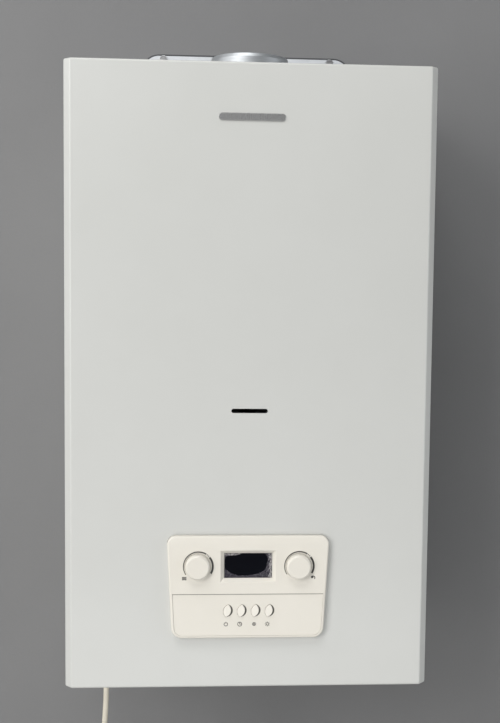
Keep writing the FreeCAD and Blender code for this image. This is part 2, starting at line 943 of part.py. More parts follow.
def leaf_slab(right, back, front, grow):
    """A button's outline: two arcs of unlike bulge between leaning tips."""
    half = button_length / 2 + grow
    top = at(right + button_lean, back, button_up + half)
    bottom = at(right - button_lean, back, button_up - half)
    bulge_right = at(right + button_right_bulge + grow, back, button_up)
    bulge_left = at(right - button_left_bulge - grow, back, button_up)
    outline = Part.Wire([Part.Arc(bottom, bulge_right, top).toShape(),
                         Part.Arc(top, bulge_left, bottom).toShape()])
    return Part.Face(outline).extrude(OUT * (front - back))


def button_panel():
    panel = insert_slab(insert_floor, insert_floor + insert_thickness, insert_rim + insert_play,
                        parting_up - insert_play)
    holes = [leaf_slab(right, insert_floor - overrun, fascia_face + overrun, button_play)
             for right in button_places()]
    return panel.cut(holes)


def button(right):
    """A push button: a cap that rises to the right, a flange behind the panel and a stem."""
    flange_front = insert_floor - seat_gap
    flange_back = flange_front - button_flange_thickness
    panel_front = insert_floor + insert_thickness
    cap = leaf_slab(right, flange_front, panel_front + 2 * button_rise, 0)
    cap = cap.makeFillet(button_tip_round, edges_along(cap, OUT))
    low = at(right - button_left_bulge, panel_front + button_low_rise, button_up - button_length)
    high = at(right + button_right_bulge, panel_front + button_rise, button_up - button_length)
    slope = (high - low).normalize()
    lower, upper = low - slope * overrun, high + slope * overrun
    above = [lower, upper, upper + OUT * button_rise, lower + OUT * (2 * button_rise)]
    cap = cap.cut(profile_slab(above, UP * (2 * button_length)))
    cap = cap.makeFillet(button_round, edges_level(cap, slope.cross(UP), low))
    flange = leaf_slab(right, flange_back, flange_front, button_flange)
    stem_end = board_front + switch_length + plunger_length + button_travel + button_switch_gap
    stem = rod(at(right, stem_end, button_up), OUT, flange_back - stem_end, button_stem_radius)
    return joined([cap, flange, stem])


def knob(right):
    """A turned knob with a tapered side, a bevelled face and its spindle."""
    profile = [(0, 0), (knob_radius, 0), (knob_radius, knob_base),
               (knob_waist_radius, knob_length - knob_bevel),
               (knob_face_radius, knob_length), (0, knob_length)]
    rounds = [0, 0, 0, knob_round, knob_round, 0]
    body = turned(profile, at(right, knob_back, knob_up), OUT, rounds)
    start = at(right, knob_back - knob_spindle_length, knob_up)
    spindle = rod(start, OUT, knob_spindle_length + knob_base, knob_spindle_radius)
    return body.fuse(spindle).removeSplitter()


def display_window():
    return rounded_plate(0, window_back, display_up, glass_width + 2 * window_lap,
                         glass_height + 2 * window_lap,
                         display_frame, window_thickness)


def display_module():
    """The liquid crystal panel in its metal frame, standing on the board."""
    depth = window_back - board_front
    module = rounded_plate(0, board_front, display_up, glass_width, glass_height, display_frame, depth)
    rim = rounded_plate(0, board_front, display_up, glass_width + 2 * display_frame,
                        glass_height + 2 * display_frame, display_frame, depth - display_frame)
    return joined([module, rim])


def board_edges():
    half = fascia_bottom_width / 2 - board_margin
    return half, fascia_bottom + board_margin, fascia_top - board_margin


def post_places():
    half, low, high = board_edges()
    ups = (low + post_inset, high - post_inset)
    return [(side * (half - post_inset), up) for side in (-1, 1) for up in ups]


def control_board():
    """The circuit board with its soldered potentiometers, push switches and relays."""
    half, low, high = board_edges()
    pieces = [block(-half, half, board_front - board_sheet, board_front, low, high)]
    bores = []
    for right in knob_places():
        pieces.append(rod(at(right, board_front, knob_up), OUT, pot_length, pot_radius))
        pieces.append(rod(at(right, board_front + pot_length, knob_up), OUT, pot_bush_length,
                          pot_bush_radius))
        bores.append(rod(at(right, board_front, knob_up), OUT, pot_length + pot_bush_length + overrun,
                         knob_spindle_radius + running_play))
    for right in button_places():
        reach = switch_size / 2
        pieces.append(block(right - reach, right + reach, board_front, board_front + switch_length,
                            button_up - reach, button_up + reach))
        pieces.append(rod(at(right, board_front + switch_length, button_up), OUT, plunger_length,
                          plunger_radius))
    back = board_front - board_sheet
    for index in (-1, 0, 1):
        middle = index * relay_width * 2
        pieces.append(block(middle - relay_width / 2, middle + relay_width / 2, back - relay_depth, back,
                            parting_up - relay_height, parting_up))
    return joined(pieces).cut(bores)


def control_box():
    """The rear tray of the control housing, with board posts and pivot pins."""
    width, height = 2 * control_half, control_box_top - control_box_bottom
    middle = (control_box_top + control_box_bottom) / 2
    form = rounded_plate(0, control_box_back, middle, width, height, control_box_corner, control_box_depth)
    room = rounded_plate(0, control_box_back + control_box_wall, middle, width - 2 * control_box_wall,
                         height - 2 * control_box_wall, control_box_corner - control_box_wall,
                         control_box_depth)
    pieces = [form.cut(room)]
    floor = control_box_back + control_box_wall
    for right, up in post_places():
        pieces.append(rod(at(right, floor, up), OUT, board_front - board_sheet - floor, post_radius))
    pin_out = control_box_back - pivot_inset
    for side in (-1, 1):
        ear = block(min(side * control_half, side * (control_half - control_box_wall)),
                    max(side * control_half, side * (control_half - control_box_wall)),
                    pin_out - pivot_radius, control_box_back + control_box_wall,
                    pivot_up - pivot_radius, pivot_up + pivot_radius)
        pieces.append(ear)
        pin_length = inner_half - control_half
        pieces.append(rod(at(side * control_half, pin_out, pivot_up), RIGHT * side, pin_length,
                          pivot_radius))
    return joined(pieces)


def control_box_cover():
    width, height = 2 * control_half, control_box_top - control_box_bottom
    middle = (control_box_top + control_box_bottom) / 2
    plate = rounded_plate(0, control_cover_back, middle, width, height, control_box_corner,
                          control_cover_sheet)
    opening = fascia_slab(control_cover_back - overrun, fascia_back + overrun, -2 * fascia_wall)
    return plate.cut(opening)


# Flue


def flue_collar():
    """The flanged collar that takes the outer flue pipe, with a rolled bead at its rim."""
    base = at(0, flue_out, casing_height)
    inner = collar_radius - collar_wall
    profile = [(inner, 0), (collar_flange_radius, 0), (collar_flange_radius, collar_flange_thickness),
               (collar_radius, collar_flange_thickness), (collar_radius, collar_rise - collar_bead_height),
               (collar_radius - collar_bead / 2, collar_rise - collar_bead_height / 2),
               (collar_radius - collar_bead, collar_rise), (inner, collar_rise)]
    collar = turned(profile, base, UP)
    reach = collar_flange_radius - collar_screw_inset
    holes = []
    for index in range(collar_screw_count):
        angle = 2 * math.pi * (index + 0.5) / collar_screw_count
        start = at(reach * math.cos(angle), flue_out + reach * math.sin(angle), casing_height - overrun)
        holes.append(rod(start, UP, collar_flange_thickness + 2 * overrun, collar_screw_radius))
    return collar.cut(holes)


def inner_flue():
    bottom = outlet_top + outlet_plate_sheet
    return ring(at(0, flue_out, bottom), UP, casing_height + flue_rise - bottom, flue_radius,
                flue_radius - flue_wall)


# Air box


def air_box():
    """The sealed sheet box, open at the front inside a lip, with holes for the pipes and the flue."""
    form = block(-air_half, air_half, air_back, air_front, air_floor, top_inside)
    room = block(-air_half + frame_sheet, air_half - frame_sheet, air_back + frame_sheet,
                 air_front - frame_sheet,
                 air_floor + frame_sheet, top_inside - frame_sheet)
    mouth = block(-air_half + air_box_lip, air_half - air_box_lip, air_front - 2 * overrun,
                  air_front + overrun,
                  air_floor + air_box_lip, top_inside - air_box_lip)
    depth = frame_sheet + 2 * overrun
    holes = [rod(at(0, flue_out, top_inside - frame_sheet - overrun), UP, depth, duct_half)]
    floor_holes = ((flow_pipe_right(), tube_last_out, pipe_radius),
                   (return_pipe_right, return_pipe_out, pipe_radius),
                   (0, manifold_out, gas_pipe_radius))
    for right, out, radius in floor_holes:
        holes.append(rod(at(right, out, air_floor - overrun), UP, depth, radius + pipe_play))
    return form.cut([room, mouth] + holes)


def air_box_cover():
    plate = block(-air_half, air_half, air_front, air_front + frame_sheet, air_floor, top_inside)
    hole = rounded_plate(0, air_front - overrun, sight_up, window_length - 2 * window_lip,
                         window_height - 2 * window_lip, window_height / 2 - window_lip,
                         frame_sheet + 2 * overrun)
    return plate.cut(hole)


def air_box_window():
    return rounded_plate(0, air_front + frame_sheet, sight_up, window_length, window_height,
                         window_height / 2,
                         window_glass)


# Burner and combustion chamber


def chamber_front_cuts(back, front, play):
    """The sight hole and the electrode holes, through whatever stands at the chamber's front."""
    depth = front - back
    cuts = [rod(at(0, back, sight_up), OUT, depth, chamber_sight_radius)]
    for right in electrode_places:
        cuts.append(rod(at(right, back, chamber_bottom + electrode_up), OUT, depth,
                        electrode_radius + play))
    return cuts


def combustion_chamber():
    """A sheet box open above and below, with side skirts that stand on the air box's floor."""
    form = block(-chamber_half, chamber_half, chamber_back, chamber_front, air_floor + frame_sheet,
                 chamber_top)
    room = block(-chamber_half + chamber_sheet, chamber_half - chamber_sheet, chamber_back + chamber_sheet,
                 chamber_front - chamber_sheet, air_floor, chamber_top + overrun)
    under = block(-chamber_half + chamber_sheet, chamber_half - chamber_sheet, chamber_back - overrun,
                  chamber_front + overrun, air_floor, chamber_bottom)
    cuts = chamber_front_cuts(chamber_front - chamber_sheet - overrun, chamber_front + overrun, pipe_play)
    return form.cut([room, under] + cuts)


def chamber_insulation():
    """Four fibre boards that line the chamber."""
    side_half = chamber_half - chamber_sheet
    back, front = chamber_back + chamber_sheet, chamber_front - chamber_sheet
    inside = side_half - insulation_thickness
    top = chamber_top - insulation_play
    boards = [block(-side_half, -inside, back, front, chamber_bottom, top),
              block(inside, side_half, back, front, chamber_bottom, top)]
    inside -= insulation_play
    boards.append(block(-inside, inside, back, back + insulation_thickness, chamber_bottom, top))
    face = block(-inside, inside, front - insulation_thickness, front, chamber_bottom, top)
    boards.append(face.cut(chamber_front_cuts(front - insulation_thickness - overrun, front + overrun,
                                              pipe_play)))
    return Part.makeCompound(boards)


def chamber_sight_glass():
    return rod(at(0, chamber_front, sight_up), OUT, chamber_glass_thickness, chamber_glass_radius)


def burner_bars():
    """Flat burner blades side by side, on two cross rails that rest in the skirts."""
    back, front = chamber_back + bar_end_gap, chamber_front - bar_end_gap
    neck, head, foot = bar_neck_width / 2, bar_head_width / 2, bar_foot_width / 2
    bar_bottom = burner_bottom
    foot_top = bar_bottom + bar_foot_height
    head_low = burner_top - bar_head_height
    slit, slit_low = bar_slit_width / 2, burner_top - bar_slit_depth
    half_outline = [(foot / 2, bar_bottom), (foot, bar_bottom + bar_foot_height / 4),
                    (foot, foot_top - bar_foot_height / 4), (neck, foot_top),
                    (neck, head_low), (head, head_low + bar_head_width / 4), (head, burner_top),
                    (slit, burner_top), (slit, slit_low)]
    outline = half_outline + [(-right, up) for right, up in reversed(half_outline)]
    pieces = []
    for index in range(bar_count):
        middle = (index - (bar_count - 1) / 2) * bar_pitch
        places = [at(middle + right, back, up) for right, up in outline]
        pieces.append(profile_slab(places, OUT * (front - back)))
    rail_half = chamber_half - chamber_sheet
    rail_low = (foot_top + head_low - burner_rail_height) / 2
    for out in (back, front - burner_rail_depth):
        pieces.append(block(-rail_half, rail_half, out, out + burner_rail_depth,
                            rail_low, rail_low + burner_rail_height))
    return joined(pieces)


def gas_manifold():
    """A square gas bar with one injector for each burner blade and a lug at each end."""
    reach = manifold_size / 2
    pieces = [block(-chamber_half, chamber_half, manifold_back, manifold_back + manifold_size,
                    manifold_up - reach, manifold_up + reach)]
    for side in (-1, 1):
        inside = side * (chamber_half - manifold_gap)
        pieces.append(block(min(side * chamber_half, inside), max(side * chamber_half, inside),
                            chamber_front,
                            manifold_back, manifold_up - reach, manifold_up + reach))
    for index in range(bar_count):
        middle = (index - (bar_count - 1) / 2) * bar_pitch
        corners = [at(middle + injector_radius * math.cos(math.pi * turn / 3), manifold_back,
                      manifold_up + injector_radius * math.sin(math.pi * turn / 3)) for turn in range(6)]
        pieces.append(profile_slab(corners, OUT * -injector_length))
    return joined(pieces)


def electrodes():
    """Two spark electrodes and a flame sensor: ceramic bodies with a wire tip."""
    rods = []
    length = electrode_outside + electrode_inside
    profile = [(0, 0), (electrode_radius, 0), (electrode_radius, length), (electrode_wire_radius, length),
               (electrode_wire_radius, length + electrode_wire), (0, length + electrode_wire)]
    for right in electrode_places:
        start = at(right, chamber_front + electrode_outside, chamber_bottom + electrode_up)
        rods.append(turned(profile, start, OUT * -1))
    return Part.makeCompound(rods)


# Heat exchanger, hood and fan


def heat_exchanger():
    """A finned core in a frame, with pressed caps that join its tubes in pairs at the ends."""
    form = block(-chamber_half, chamber_half, chamber_back, chamber_front, chamber_top, exchanger_top)
    room_half = chamber_half - exchanger_frame
    room_back, room_front = chamber_back + exchanger_frame, chamber_front - exchanger_frame
    room = block(-room_half, room_half, room_back, room_front, chamber_top - overrun,
                 exchanger_top + overrun)
    pieces = [form.cut(room)]
    core_low, core_high = tube_up - core_height / 2, tube_up + core_height / 2
    pieces.append(block(-room_half, room_half, room_back, room_front, core_low, core_high))
    pitch = 2 * room_half / fin_count
    for index in range(fin_count):
        left = -room_half + (index + 0.5) * pitch - fin_sheet / 2
        pieces.append(block(left, left + fin_sheet, room_back, room_front, chamber_top + fin_edge_gap,
                            core_low))
        pieces.append(block(left, left + fin_sheet, room_back, room_front, core_high,
                            exchanger_top - fin_edge_gap))
    for side, first in ((-1, 0), (1, 1)):
        for index in range(first, tube_count - 1, 2):
            pieces.append(tube_cap(side, tube_first_out + (index + 0.5) * tube_pitch))
    pieces.append(rod(at(-chamber_half, tube_last_out, tube_up), RIGHT * -1, cap_length,
                      tube_radius + cap_edge))
    pieces.append(rod(at(chamber_half, tube_first_out, tube_up), RIGHT, cap_length, tube_radius + cap_edge))
    return joined(pieces)


def tube_cap(side, out):
    """A pressed cap over two neighbouring tube ends."""
    radius = tube_radius + cap_edge
    half_run = tube_pitch / 2 + radius
    base = side * chamber_half
    corners = [at(base, out - half_run, tube_up - radius), at(base, out + half_run, tube_up - radius),
               at(base, out + half_run, tube_up + radius), at(base, out - half_run, tube_up + radius)]
    cap = slab(corners, [radius] * 4, RIGHT * (side * cap_length))
    far = at(base + side * cap_length, 0, 0)
    return cap.makeFillet(cap_edge, edges_level(cap, RIGHT, far))


def hood_form(shrink, low):
    """The hood's outside, or its inside when shrunk by the sheet."""
    half = chamber_half - shrink
    back, front = chamber_back + shrink, chamber_front - shrink
    skirt_top = exchanger_top + hood_skirt - shrink
    neck_up = skirt_top + hood_rise
    neck_back, neck_front = fan_back - hood_duct_depth + shrink, fan_back - shrink
    low_part = [at(-half, back, low), at(-half, front, low), at(-half, front, skirt_top),
                at(-half, neck_front, neck_up), at(-half, neck_back, neck_up), at(-half, back, skirt_top)]
    duct_left = fan_right - hood_duct_width / 2 + shrink
    duct_right = fan_right + hood_duct_width / 2 - shrink
    duct = block(duct_left, duct_right, neck_back, neck_front, neck_up - overrun,
                 outlet_top - hood_duct_top_gap - shrink)
    return profile_slab(low_part, RIGHT * (2 * half)).fuse(duct)


def flue_hood():
    """The sheet hood over the exchanger, narrowing to an upright duct that feeds the fan."""
    inlet = rod(at(fan_right, fan_back - hood_sheet - overrun, fan_up), OUT, hood_sheet + 2 * overrun,
                inlet_radius)
    room = hood_form(hood_sheet, exchanger_top - overrun)
    return hood_form(0, exchanger_top).cut([room, inlet]).removeSplitter()


def scroll_slab(skin, back, front, top):
    """The fan's growing spiral with its upright outlet, wider by skin all round."""
    radius, growth = scroll_radius + skin, scroll_growth
    right_wall, left_wall = outlet_width / 2 + skin, -outlet_width / 2 - skin
    slant = math.sqrt(0.5)

    def place(right, up):
        return at(fan_right + right, back, fan_up + up)

    def quarter(centre, size, turn_right, turn_up):
        return place(centre[0] + turn_right * size * slant, centre[1] + turn_up * size * slant)

    third, second, first = radius + 3 * growth, radius + 2 * growth, radius + growth
    third_centre, second_centre, first_centre = (growth, 0), (growth, -growth), (0, -growth)
    rightmost = place(growth + third, 0)
    lowest = place(growth, -third)
    leftmost = place(growth - second, -growth)
    highest = place(0, radius)
    tongue_right = left_wall - fan_right
    tongue_angle = math.acos(tongue_right / radius)
    tongue = place(tongue_right, radius * math.sin(tongue_angle))
    bend_angle = (tongue_angle + math.pi / 2) / 2
    bend = place(radius * math.cos(bend_angle), radius * math.sin(bend_angle))
    top_right, top_left = at(right_wall, back, top), at(left_wall, back, top)
    edges = [Part.LineSegment(top_right, rightmost).toShape(),
             Part.Arc(rightmost, quarter(third_centre, third, 1, -1), lowest).toShape(),
             Part.Arc(lowest, quarter(second_centre, second, -1, -1), leftmost).toShape(),
             Part.Arc(leftmost, quarter(first_centre, first, -1, 1), highest).toShape(),
             Part.Arc(highest, bend, tongue).toShape(),
             Part.LineSegment(tongue, top_left).toShape(),
             Part.LineSegment(top_left, top_right).toShape()]
    return Part.Face(Part.Wire(edges)).extrude(OUT * (front - back))


def fan_housing():
    """The fan's spiral housing: hollow, open to the hood behind, with a round spigot above."""
    outer = scroll_slab(fan_sheet, fan_back, fan_front, outlet_top)
    inner = scroll_slab(0, fan_back + fan_sheet, fan_front - fan_sheet, outlet_top + overrun)
    centre = at(fan_right, fan_back - overrun, fan_up)
    inlet = rod(centre, OUT, fan_sheet + 2 * overrun, inlet_radius)
    axle = rod(centre, OUT, fan_depth + 2 * overrun, shaft_radius + shaft_hole_play)
    plate_half = outlet_width / 2 + outlet_plate_lap
    plate = block(-plate_half, plate_half, flue_out - plate_half, flue_out + plate_half,
                  outlet_top, outlet_top + outlet_plate_sheet)
    spigot_radius = flue_radius - flue_wall - spigot_play
    spigot = rod(at(0, flue_out, outlet_top), UP, outlet_plate_sheet + spigot_length, spigot_radius)
    bore_radius = min(spigot_radius - spigot_wall, fan_depth / 2 - fan_sheet)
    bore = rod(at(0, flue_out, outlet_top - overrun), UP, outlet_plate_sheet + spigot_length + 2 * overrun,
               bore_radius)
    return outer.cut([inner, inlet, axle]).fuse([plate, spigot]).cut(bore).removeSplitter()


def fan_impeller():
    """A forward-curved fan wheel: back plate, blades, front ring, hub and shaft."""
    back, front = fan_back + impeller_gap, fan_front - impeller_gap
    axis = at(fan_right, back, fan_up)
    plate = rod(at(fan_right, front - impeller_plate, fan_up), OUT, impeller_plate, impeller_radius)
    rim = ring(axis, OUT, impeller_plate, impeller_radius, impeller_eye_radius)
    hub = rod(at(fan_right, front - hub_length, fan_up), OUT, hub_length, hub_radius)
    shaft = rod(at(fan_right, front - hub_length, fan_up), OUT, hub_length + impeller_gap + shaft_length,
                shaft_radius)
    root, tip = impeller_eye_radius + blade_sheet, impeller_radius - blade_sheet
    lean = (tip - root) * blade_lean_share
    middle = (root + tip) / 2
    outline = Part.Wire([
        Part.Arc(at(fan_right + root, back, fan_up), at(fan_right + middle, back, fan_up + lean),
                 at(fan_right + tip, back, fan_up)).toShape(),
        Part.LineSegment(at(fan_right + tip, back, fan_up),
                         at(fan_right + tip, back, fan_up + blade_sheet)).toShape(),
        Part.Arc(at(fan_right + tip, back, fan_up + blade_sheet),
                 at(fan_right + middle, back, fan_up + lean + blade_sheet),
                 at(fan_right + root, back, fan_up + blade_sheet)).toShape(),
        Part.LineSegment(at(fan_right + root, back, fan_up + blade_sheet),
                         at(fan_right + root, back, fan_up)).toShape()])
    blade = Part.Face(outline).extrude(OUT * (front - impeller_plate - back))
    blades = []
    for index in range(blade_count):
        turn = blade.copy()
        turn.rotate(axis, OUT, 360 * index / blade_count)
        blades.append(turn)
    return joined([plate, rim, hub, shaft] + blades)


def fan_motor():
    """The fan's motor on the front of the housing, with a bore for the wheel's shaft."""
    profile = [(shaft_radius + running_play, 0), (fan_motor_radius, 0),
               (fan_motor_radius, fan_motor_length - fan_motor_edge),
               (fan_motor_radius - fan_motor_edge, fan_motor_length),
               (fan_motor_cap_radius, fan_motor_length),
               (fan_motor_cap_radius, fan_motor_length + fan_motor_cap_length),
               (shaft_radius + running_play, fan_motor_length + fan_motor_cap_length)]
    motor = turned(profile, at(fan_right, fan_front, fan_up), OUT)
    cap = rod(at(fan_right, fan_front + fan_motor_length, fan_up), OUT, fan_motor_cap_length,
              fan_motor_cap_radius)
    return joined([motor, cap])


def air_pressure_switch():
    """The round air switch on the air box's back wall, with its two nipples."""
    base = at(switch_right, air_back + frame_sheet, top_inside - switch_below_top)
    profile = [(0, 0), (switch_disc_radius, 0), (switch_disc_radius, switch_disc_depth),
               (switch_dome_radius, switch_disc_depth),
               (switch_dome_radius, switch_disc_depth + switch_dome_depth / 2),
               (switch_dome_radius / 2, switch_disc_depth + switch_dome_depth),
               (0, switch_disc_depth + switch_dome_depth)]
    pieces = [turned(profile, base, OUT)]
    for side in (-1, 1):
        start = base + OUT * (switch_disc_depth / 2) + RIGHT * (side * switch_dome_radius / 2)
        pieces.append(rod(start, UP * -1, switch_disc_radius + switch_nipple_length, switch_nipple_radius))
    return joined(pieces)


# Expansion vessel


def vessel_form(shrink):
    """The vessel's pillow form, or its inside when shrunk by the sheet."""
    middle = (vessel_top + vessel_bottom) / 2
    form = rounded_plate(0, frame_front + shrink, middle, 2 * (vessel_half - shrink),
                         vessel_height - 2 * shrink,
                         vessel_corner - shrink, vessel_depth - 2 * shrink)
    front = at(0, frame_front + vessel_depth - shrink, 0)
    return form.makeFillet(vessel_edge - shrink, edges_level(form, OUT, front))


def expansion_vessel():
    """A flat pressed vessel: hollow, with rounded halves, a seam and a bored port underneath."""
    middle = (vessel_top + vessel_bottom) / 2
    seam = rounded_plate(0, vessel_out - vessel_seam_thickness, middle, 2 * (vessel_half + vessel_seam),
                         vessel_height + 2 * vessel_seam, vessel_corner + vessel_seam,
                         vessel_seam_thickness)
    port_low = at(vessel_port_right, vessel_out - vessel_seam_thickness / 2,
                  vessel_bottom - vessel_port_length)
    port = rod(port_low, UP, vessel_port_length + vessel_edge, vessel_port_radius)
    bore = rod(port_low, UP, vessel_port_length + vessel_edge, vessel_port_radius - vessel_port_wall)
    return joined([vessel_form(0), seam, port]).cut([vessel_form(vessel_sheet), bore]).removeSplitter()


def vessel_pipe():
    """The bent pipe from the vessel down to the return casting."""
    out = vessel_out - vessel_seam_thickness / 2
    top = vessel_bottom - vessel_port_length
    places = [at(vessel_port_right, out, top), at(vessel_port_right, out, top - vessel_pipe_drop),
              at(return_right, out, top - vessel_pipe_drop - vessel_pipe_slant),
              at(return_right, out, group_top)]
    return pipe(places, vessel_pipe_radius, vessel_pipe_bend)


# Water side


def connection_end(right, radius):
    """A threaded pipe end under the tray with its lock ring, up into its casting."""
    end = rod(at(right, connection_out, -connection_drop), UP, group_bottom + connection_drop, radius)
    lock = rod(at(right, connection_out, -lock_ring_height), UP, lock_ring_height, radius + lock_ring_lap)
    return end.fuse(lock)


def connection_bore(right, radius):
    return rod(at(right, connection_out, -connection_drop - overrun), UP, connection_bore_depth + overrun,
               radius - connection_wall)


def group_body(right_low, right_high):
    body = block(right_low, right_high, group_back, group_front, group_bottom, group_top)
    return body.makeFillet(group_edge, edges_along(body, UP) + edges_along(body, OUT))


def flow_group():
    """The three-way valve casting with the heating flow and hot water connections."""
    body = group_body(flow_right - group_margin, hot_right + group_margin)
    valve = rod(at(flow_right, connection_out, group_bottom), UP, group_height + valve_height, valve_radius)
    arm_up = group_top + port_height / 2
    arm = rod(at(flow_right, connection_out, arm_up), OUT, port_reach, port_arm_radius)
    port = rod(at(flow_right, port_out, arm_up - port_radius), UP, port_height, port_radius)
    ends = [connection_end(flow_right, three_quarter_radius), connection_end(hot_right, half_inch_radius)]
    bores = [connection_bore(flow_right, three_quarter_radius),
             connection_bore(hot_right, half_inch_radius)]
    return joined([body, valve, arm, port] + ends).cut(bores)


def flow_port_top():
    return group_top + port_height / 2 - port_radius + port_height


def valve_actuator():
    """The motor head on the three-way valve."""
    profile = [(0, 0), (actuator_radius, 0), (actuator_radius, actuator_length - actuator_edge),
               (actuator_radius - actuator_edge, actuator_length), (actuator_cap_radius, actuator_length),
               (actuator_cap_radius, actuator_length + actuator_cap_length),
               (0, actuator_length + actuator_cap_length)]
    return turned(profile, at(flow_right, connection_out, valve_top), UP)


def return_group():
    """The return casting: two connections, the pump's suction and the filling tap's neck."""
    body = group_body(cold_right - group_margin, return_right + group_margin)
    suction_up = rod(at(return_right, connection_out, group_bottom), UP, pump_up - group_bottom,
                     suction_radius)
    suction_out = rod(at(return_right, connection_out, pump_up), OUT, pump_back - connection_out,
                      suction_radius)
    elbow = Part.makeSphere(suction_radius, at(return_right, connection_out, pump_up))
    neck = rod(at(tap_right, connection_out, -tap_neck_drop), UP, group_bottom + tap_neck_drop,
               tap_neck_radius)
    seat = rod(at(return_right, vessel_out - vessel_seam_thickness / 2, group_bottom + group_edge), UP,
               group_height - group_edge, vessel_port_radius)
    bridge = block(return_right - vessel_port_radius, return_right + vessel_port_radius, vessel_out,
                   group_back + group_edge, group_bottom + group_edge, group_top - group_edge)
    ends = [connection_end(cold_right, half_inch_radius),
            connection_end(return_right, three_quarter_radius)]
    bores = [connection_bore(cold_right, half_inch_radius),
             connection_bore(return_right, three_quarter_radius),
             rod(at(tap_right, connection_out, -tap_neck_drop - overrun), UP, tap_stem_length + overrun,
                 tap_stem_radius + running_play)]
    return joined([body, suction_up, suction_out, elbow, neck, seat, bridge] + ends).cut(bores)


def relief_valve():
    """The safety valve on the front of the return casting, with its round cap."""
    up = (group_bottom + group_top) / 2
    profile = [(0, 0), (relief_radius, 0), (relief_radius, relief_length),
               (relief_knob_radius, relief_length),
               (relief_knob_radius, relief_length + relief_knob_length - relief_knob_edge),
               (relief_knob_radius - relief_knob_edge, relief_length + relief_knob_length),
               (0, relief_length + relief_knob_length)]
    return turned(profile, at(relief_right, group_front, up), OUT)


def filling_tap_knob():
    """The lobed knob under the tray that opens the filling tap, with its stem."""
    top = -tap_neck_drop - tap_knob_gap
    centre = at(tap_right, connection_out, top - tap_knob_length)
    body = rod(centre, UP, tap_knob_length, tap_knob_radius)
    scallops = []
    for index in range(tap_knob_lobes):
        angle = 2 * math.pi * index / tap_knob_lobes
        start = centre + FreeCAD.Vector(math.cos(angle), math.sin(angle), 0) * tap_knob_radius
        scallops.append(rod(start, UP, tap_knob_length, tap_knob_lobe_radius))
    stem = rod(centre, UP, tap_knob_length + tap_stem_length - tap_knob_gap, tap_stem_radius)
    return body.cut(scallops).fuse(stem).removeSplitter()


def plate_heat_exchanger():
    """A pack of rounded plates, drawn in between one plate and the next."""
    up = (group_bottom + group_top) / 2
    pieces = [rounded_plate(0, plates_back, up, plates_width - 2 * plates_inset,
                            plates_height - 2 * plates_inset,
                            plates_corner - plates_inset, plates_depth)]
    for index in range(plates_count):
        out = plates_back + index * (plates_sheet + plates_inset)
        pieces.append(rounded_plate(0, out, up, plates_width, plates_height, plates_corner, plates_sheet))
    return joined(pieces)


def pump_body():
    """The pump's volute with its outlet and the automatic air vent."""
    centre = at(pump_right, pump_back, pump_up)
    drum = rod(centre, OUT, pump_depth, pump_radius)
    drum = drum.makeFillet(pump_edge, edges_level(drum, OUT, centre))
    outlet = rod(at(pump_outlet_right, pump_plane, pump_up), UP, pump_outlet_rise, pump_outlet_radius)
    vent_right = pump_right + vent_offset
    vent = rod(at(vent_right, pump_plane, pump_up), UP, pump_radius + vent_height, vent_radius)
    vent_cap = rod(at(vent_right, pump_plane, pump_up + pump_radius + vent_height), UP, vent_cap_height,
                   vent_cap_radius)
    room = rod(at(pump_right, pump_back + pump_wall, pump_up), OUT, pump_depth, pump_radius - pump_wall)
    eye = rod(at(pump_right, pump_back - overrun, pump_up), OUT, pump_wall + 2 * overrun, rotor_eye_radius)
    return joined([drum, outlet, vent, vent_cap]).cut([room, eye])


def pump_motor():
    """The pump's motor: flange, grooved can, end cap and terminal box."""
    bore = rotor_shaft_radius() + running_play
    profile = [(bore, 0), (pump_radius, 0), (pump_radius, pump_flange), (pump_motor_radius, pump_flange)]
    pitch = pump_motor_length / (pump_motor_groove_count + 1)
    for index in range(pump_motor_groove_count):
        along = pump_flange + (index + 1) * pitch
        profile += [(pump_motor_radius, along - pump_motor_groove),
                    (pump_motor_radius - pump_motor_groove, along),
                    (pump_motor_radius, along + pump_motor_groove)]
    end = pump_flange + pump_motor_length
    profile += [(pump_motor_radius, end - pump_flange), (pump_motor_radius - pump_flange, end),
                (pump_motor_cap_radius, end), (pump_motor_cap_radius, end + pump_motor_cap_length),
                (bore, end + pump_motor_cap_length)]
    can = turned(profile, at(pump_right, pump_front, pump_up), OUT)
    cap = rod(at(pump_right, pump_front + end, pump_up), OUT, pump_motor_cap_length, pump_motor_cap_radius)
    low = pump_up + pump_motor_radius - pump_box_height / 2
    box_middle = pump_right + vent_offset
    box = block(box_middle - pump_box_width / 2, box_middle + pump_box_width / 2, pump_front + pump_flange,
                pump_front + pump_flange + pump_box_depth, low, low + pump_box_height)
    box = box.makeFillet(pump_box_edge, edges_along(box, UP))
    core = rod(at(pump_right, pump_front, pump_up), OUT, end, pump_motor_radius - 2 * pump_motor_groove)
    return joined([can, cap, box.cut(core)])


def rotor_shaft_radius():
    return shaft_radius


def pump_impeller():
    """The pump's wheel: a plate with vanes and an eye ring, on its shaft."""
    front = pump_front - rotor_gap
    plate_back = front - rotor_plate
    plate = rod(at(pump_right, plate_back, pump_up), OUT, rotor_plate, rotor_radius)
    vane = block(pump_right + rotor_eye_radius, pump_right + rotor_radius - rotor_vane_sheet,
                 plate_back - rotor_vane_height, plate_back,
                 pump_up - rotor_vane_sheet / 2, pump_up + rotor_vane_sheet / 2)
    centre = at(pump_right, plate_back, pump_up)
    vanes = []
    for index in range(rotor_vane_count):
        turn = vane.copy()
        turn.rotate(centre, OUT, 360 * index / rotor_vane_count)
        vanes.append(turn)
    shaft = rod(at(pump_right, plate_back, pump_up), OUT, rotor_shaft_length, rotor_shaft_radius())
    return joined([plate, shaft] + vanes)


def flow_pipe_right():
    return -chamber_half - cap_length - pipe_side_run


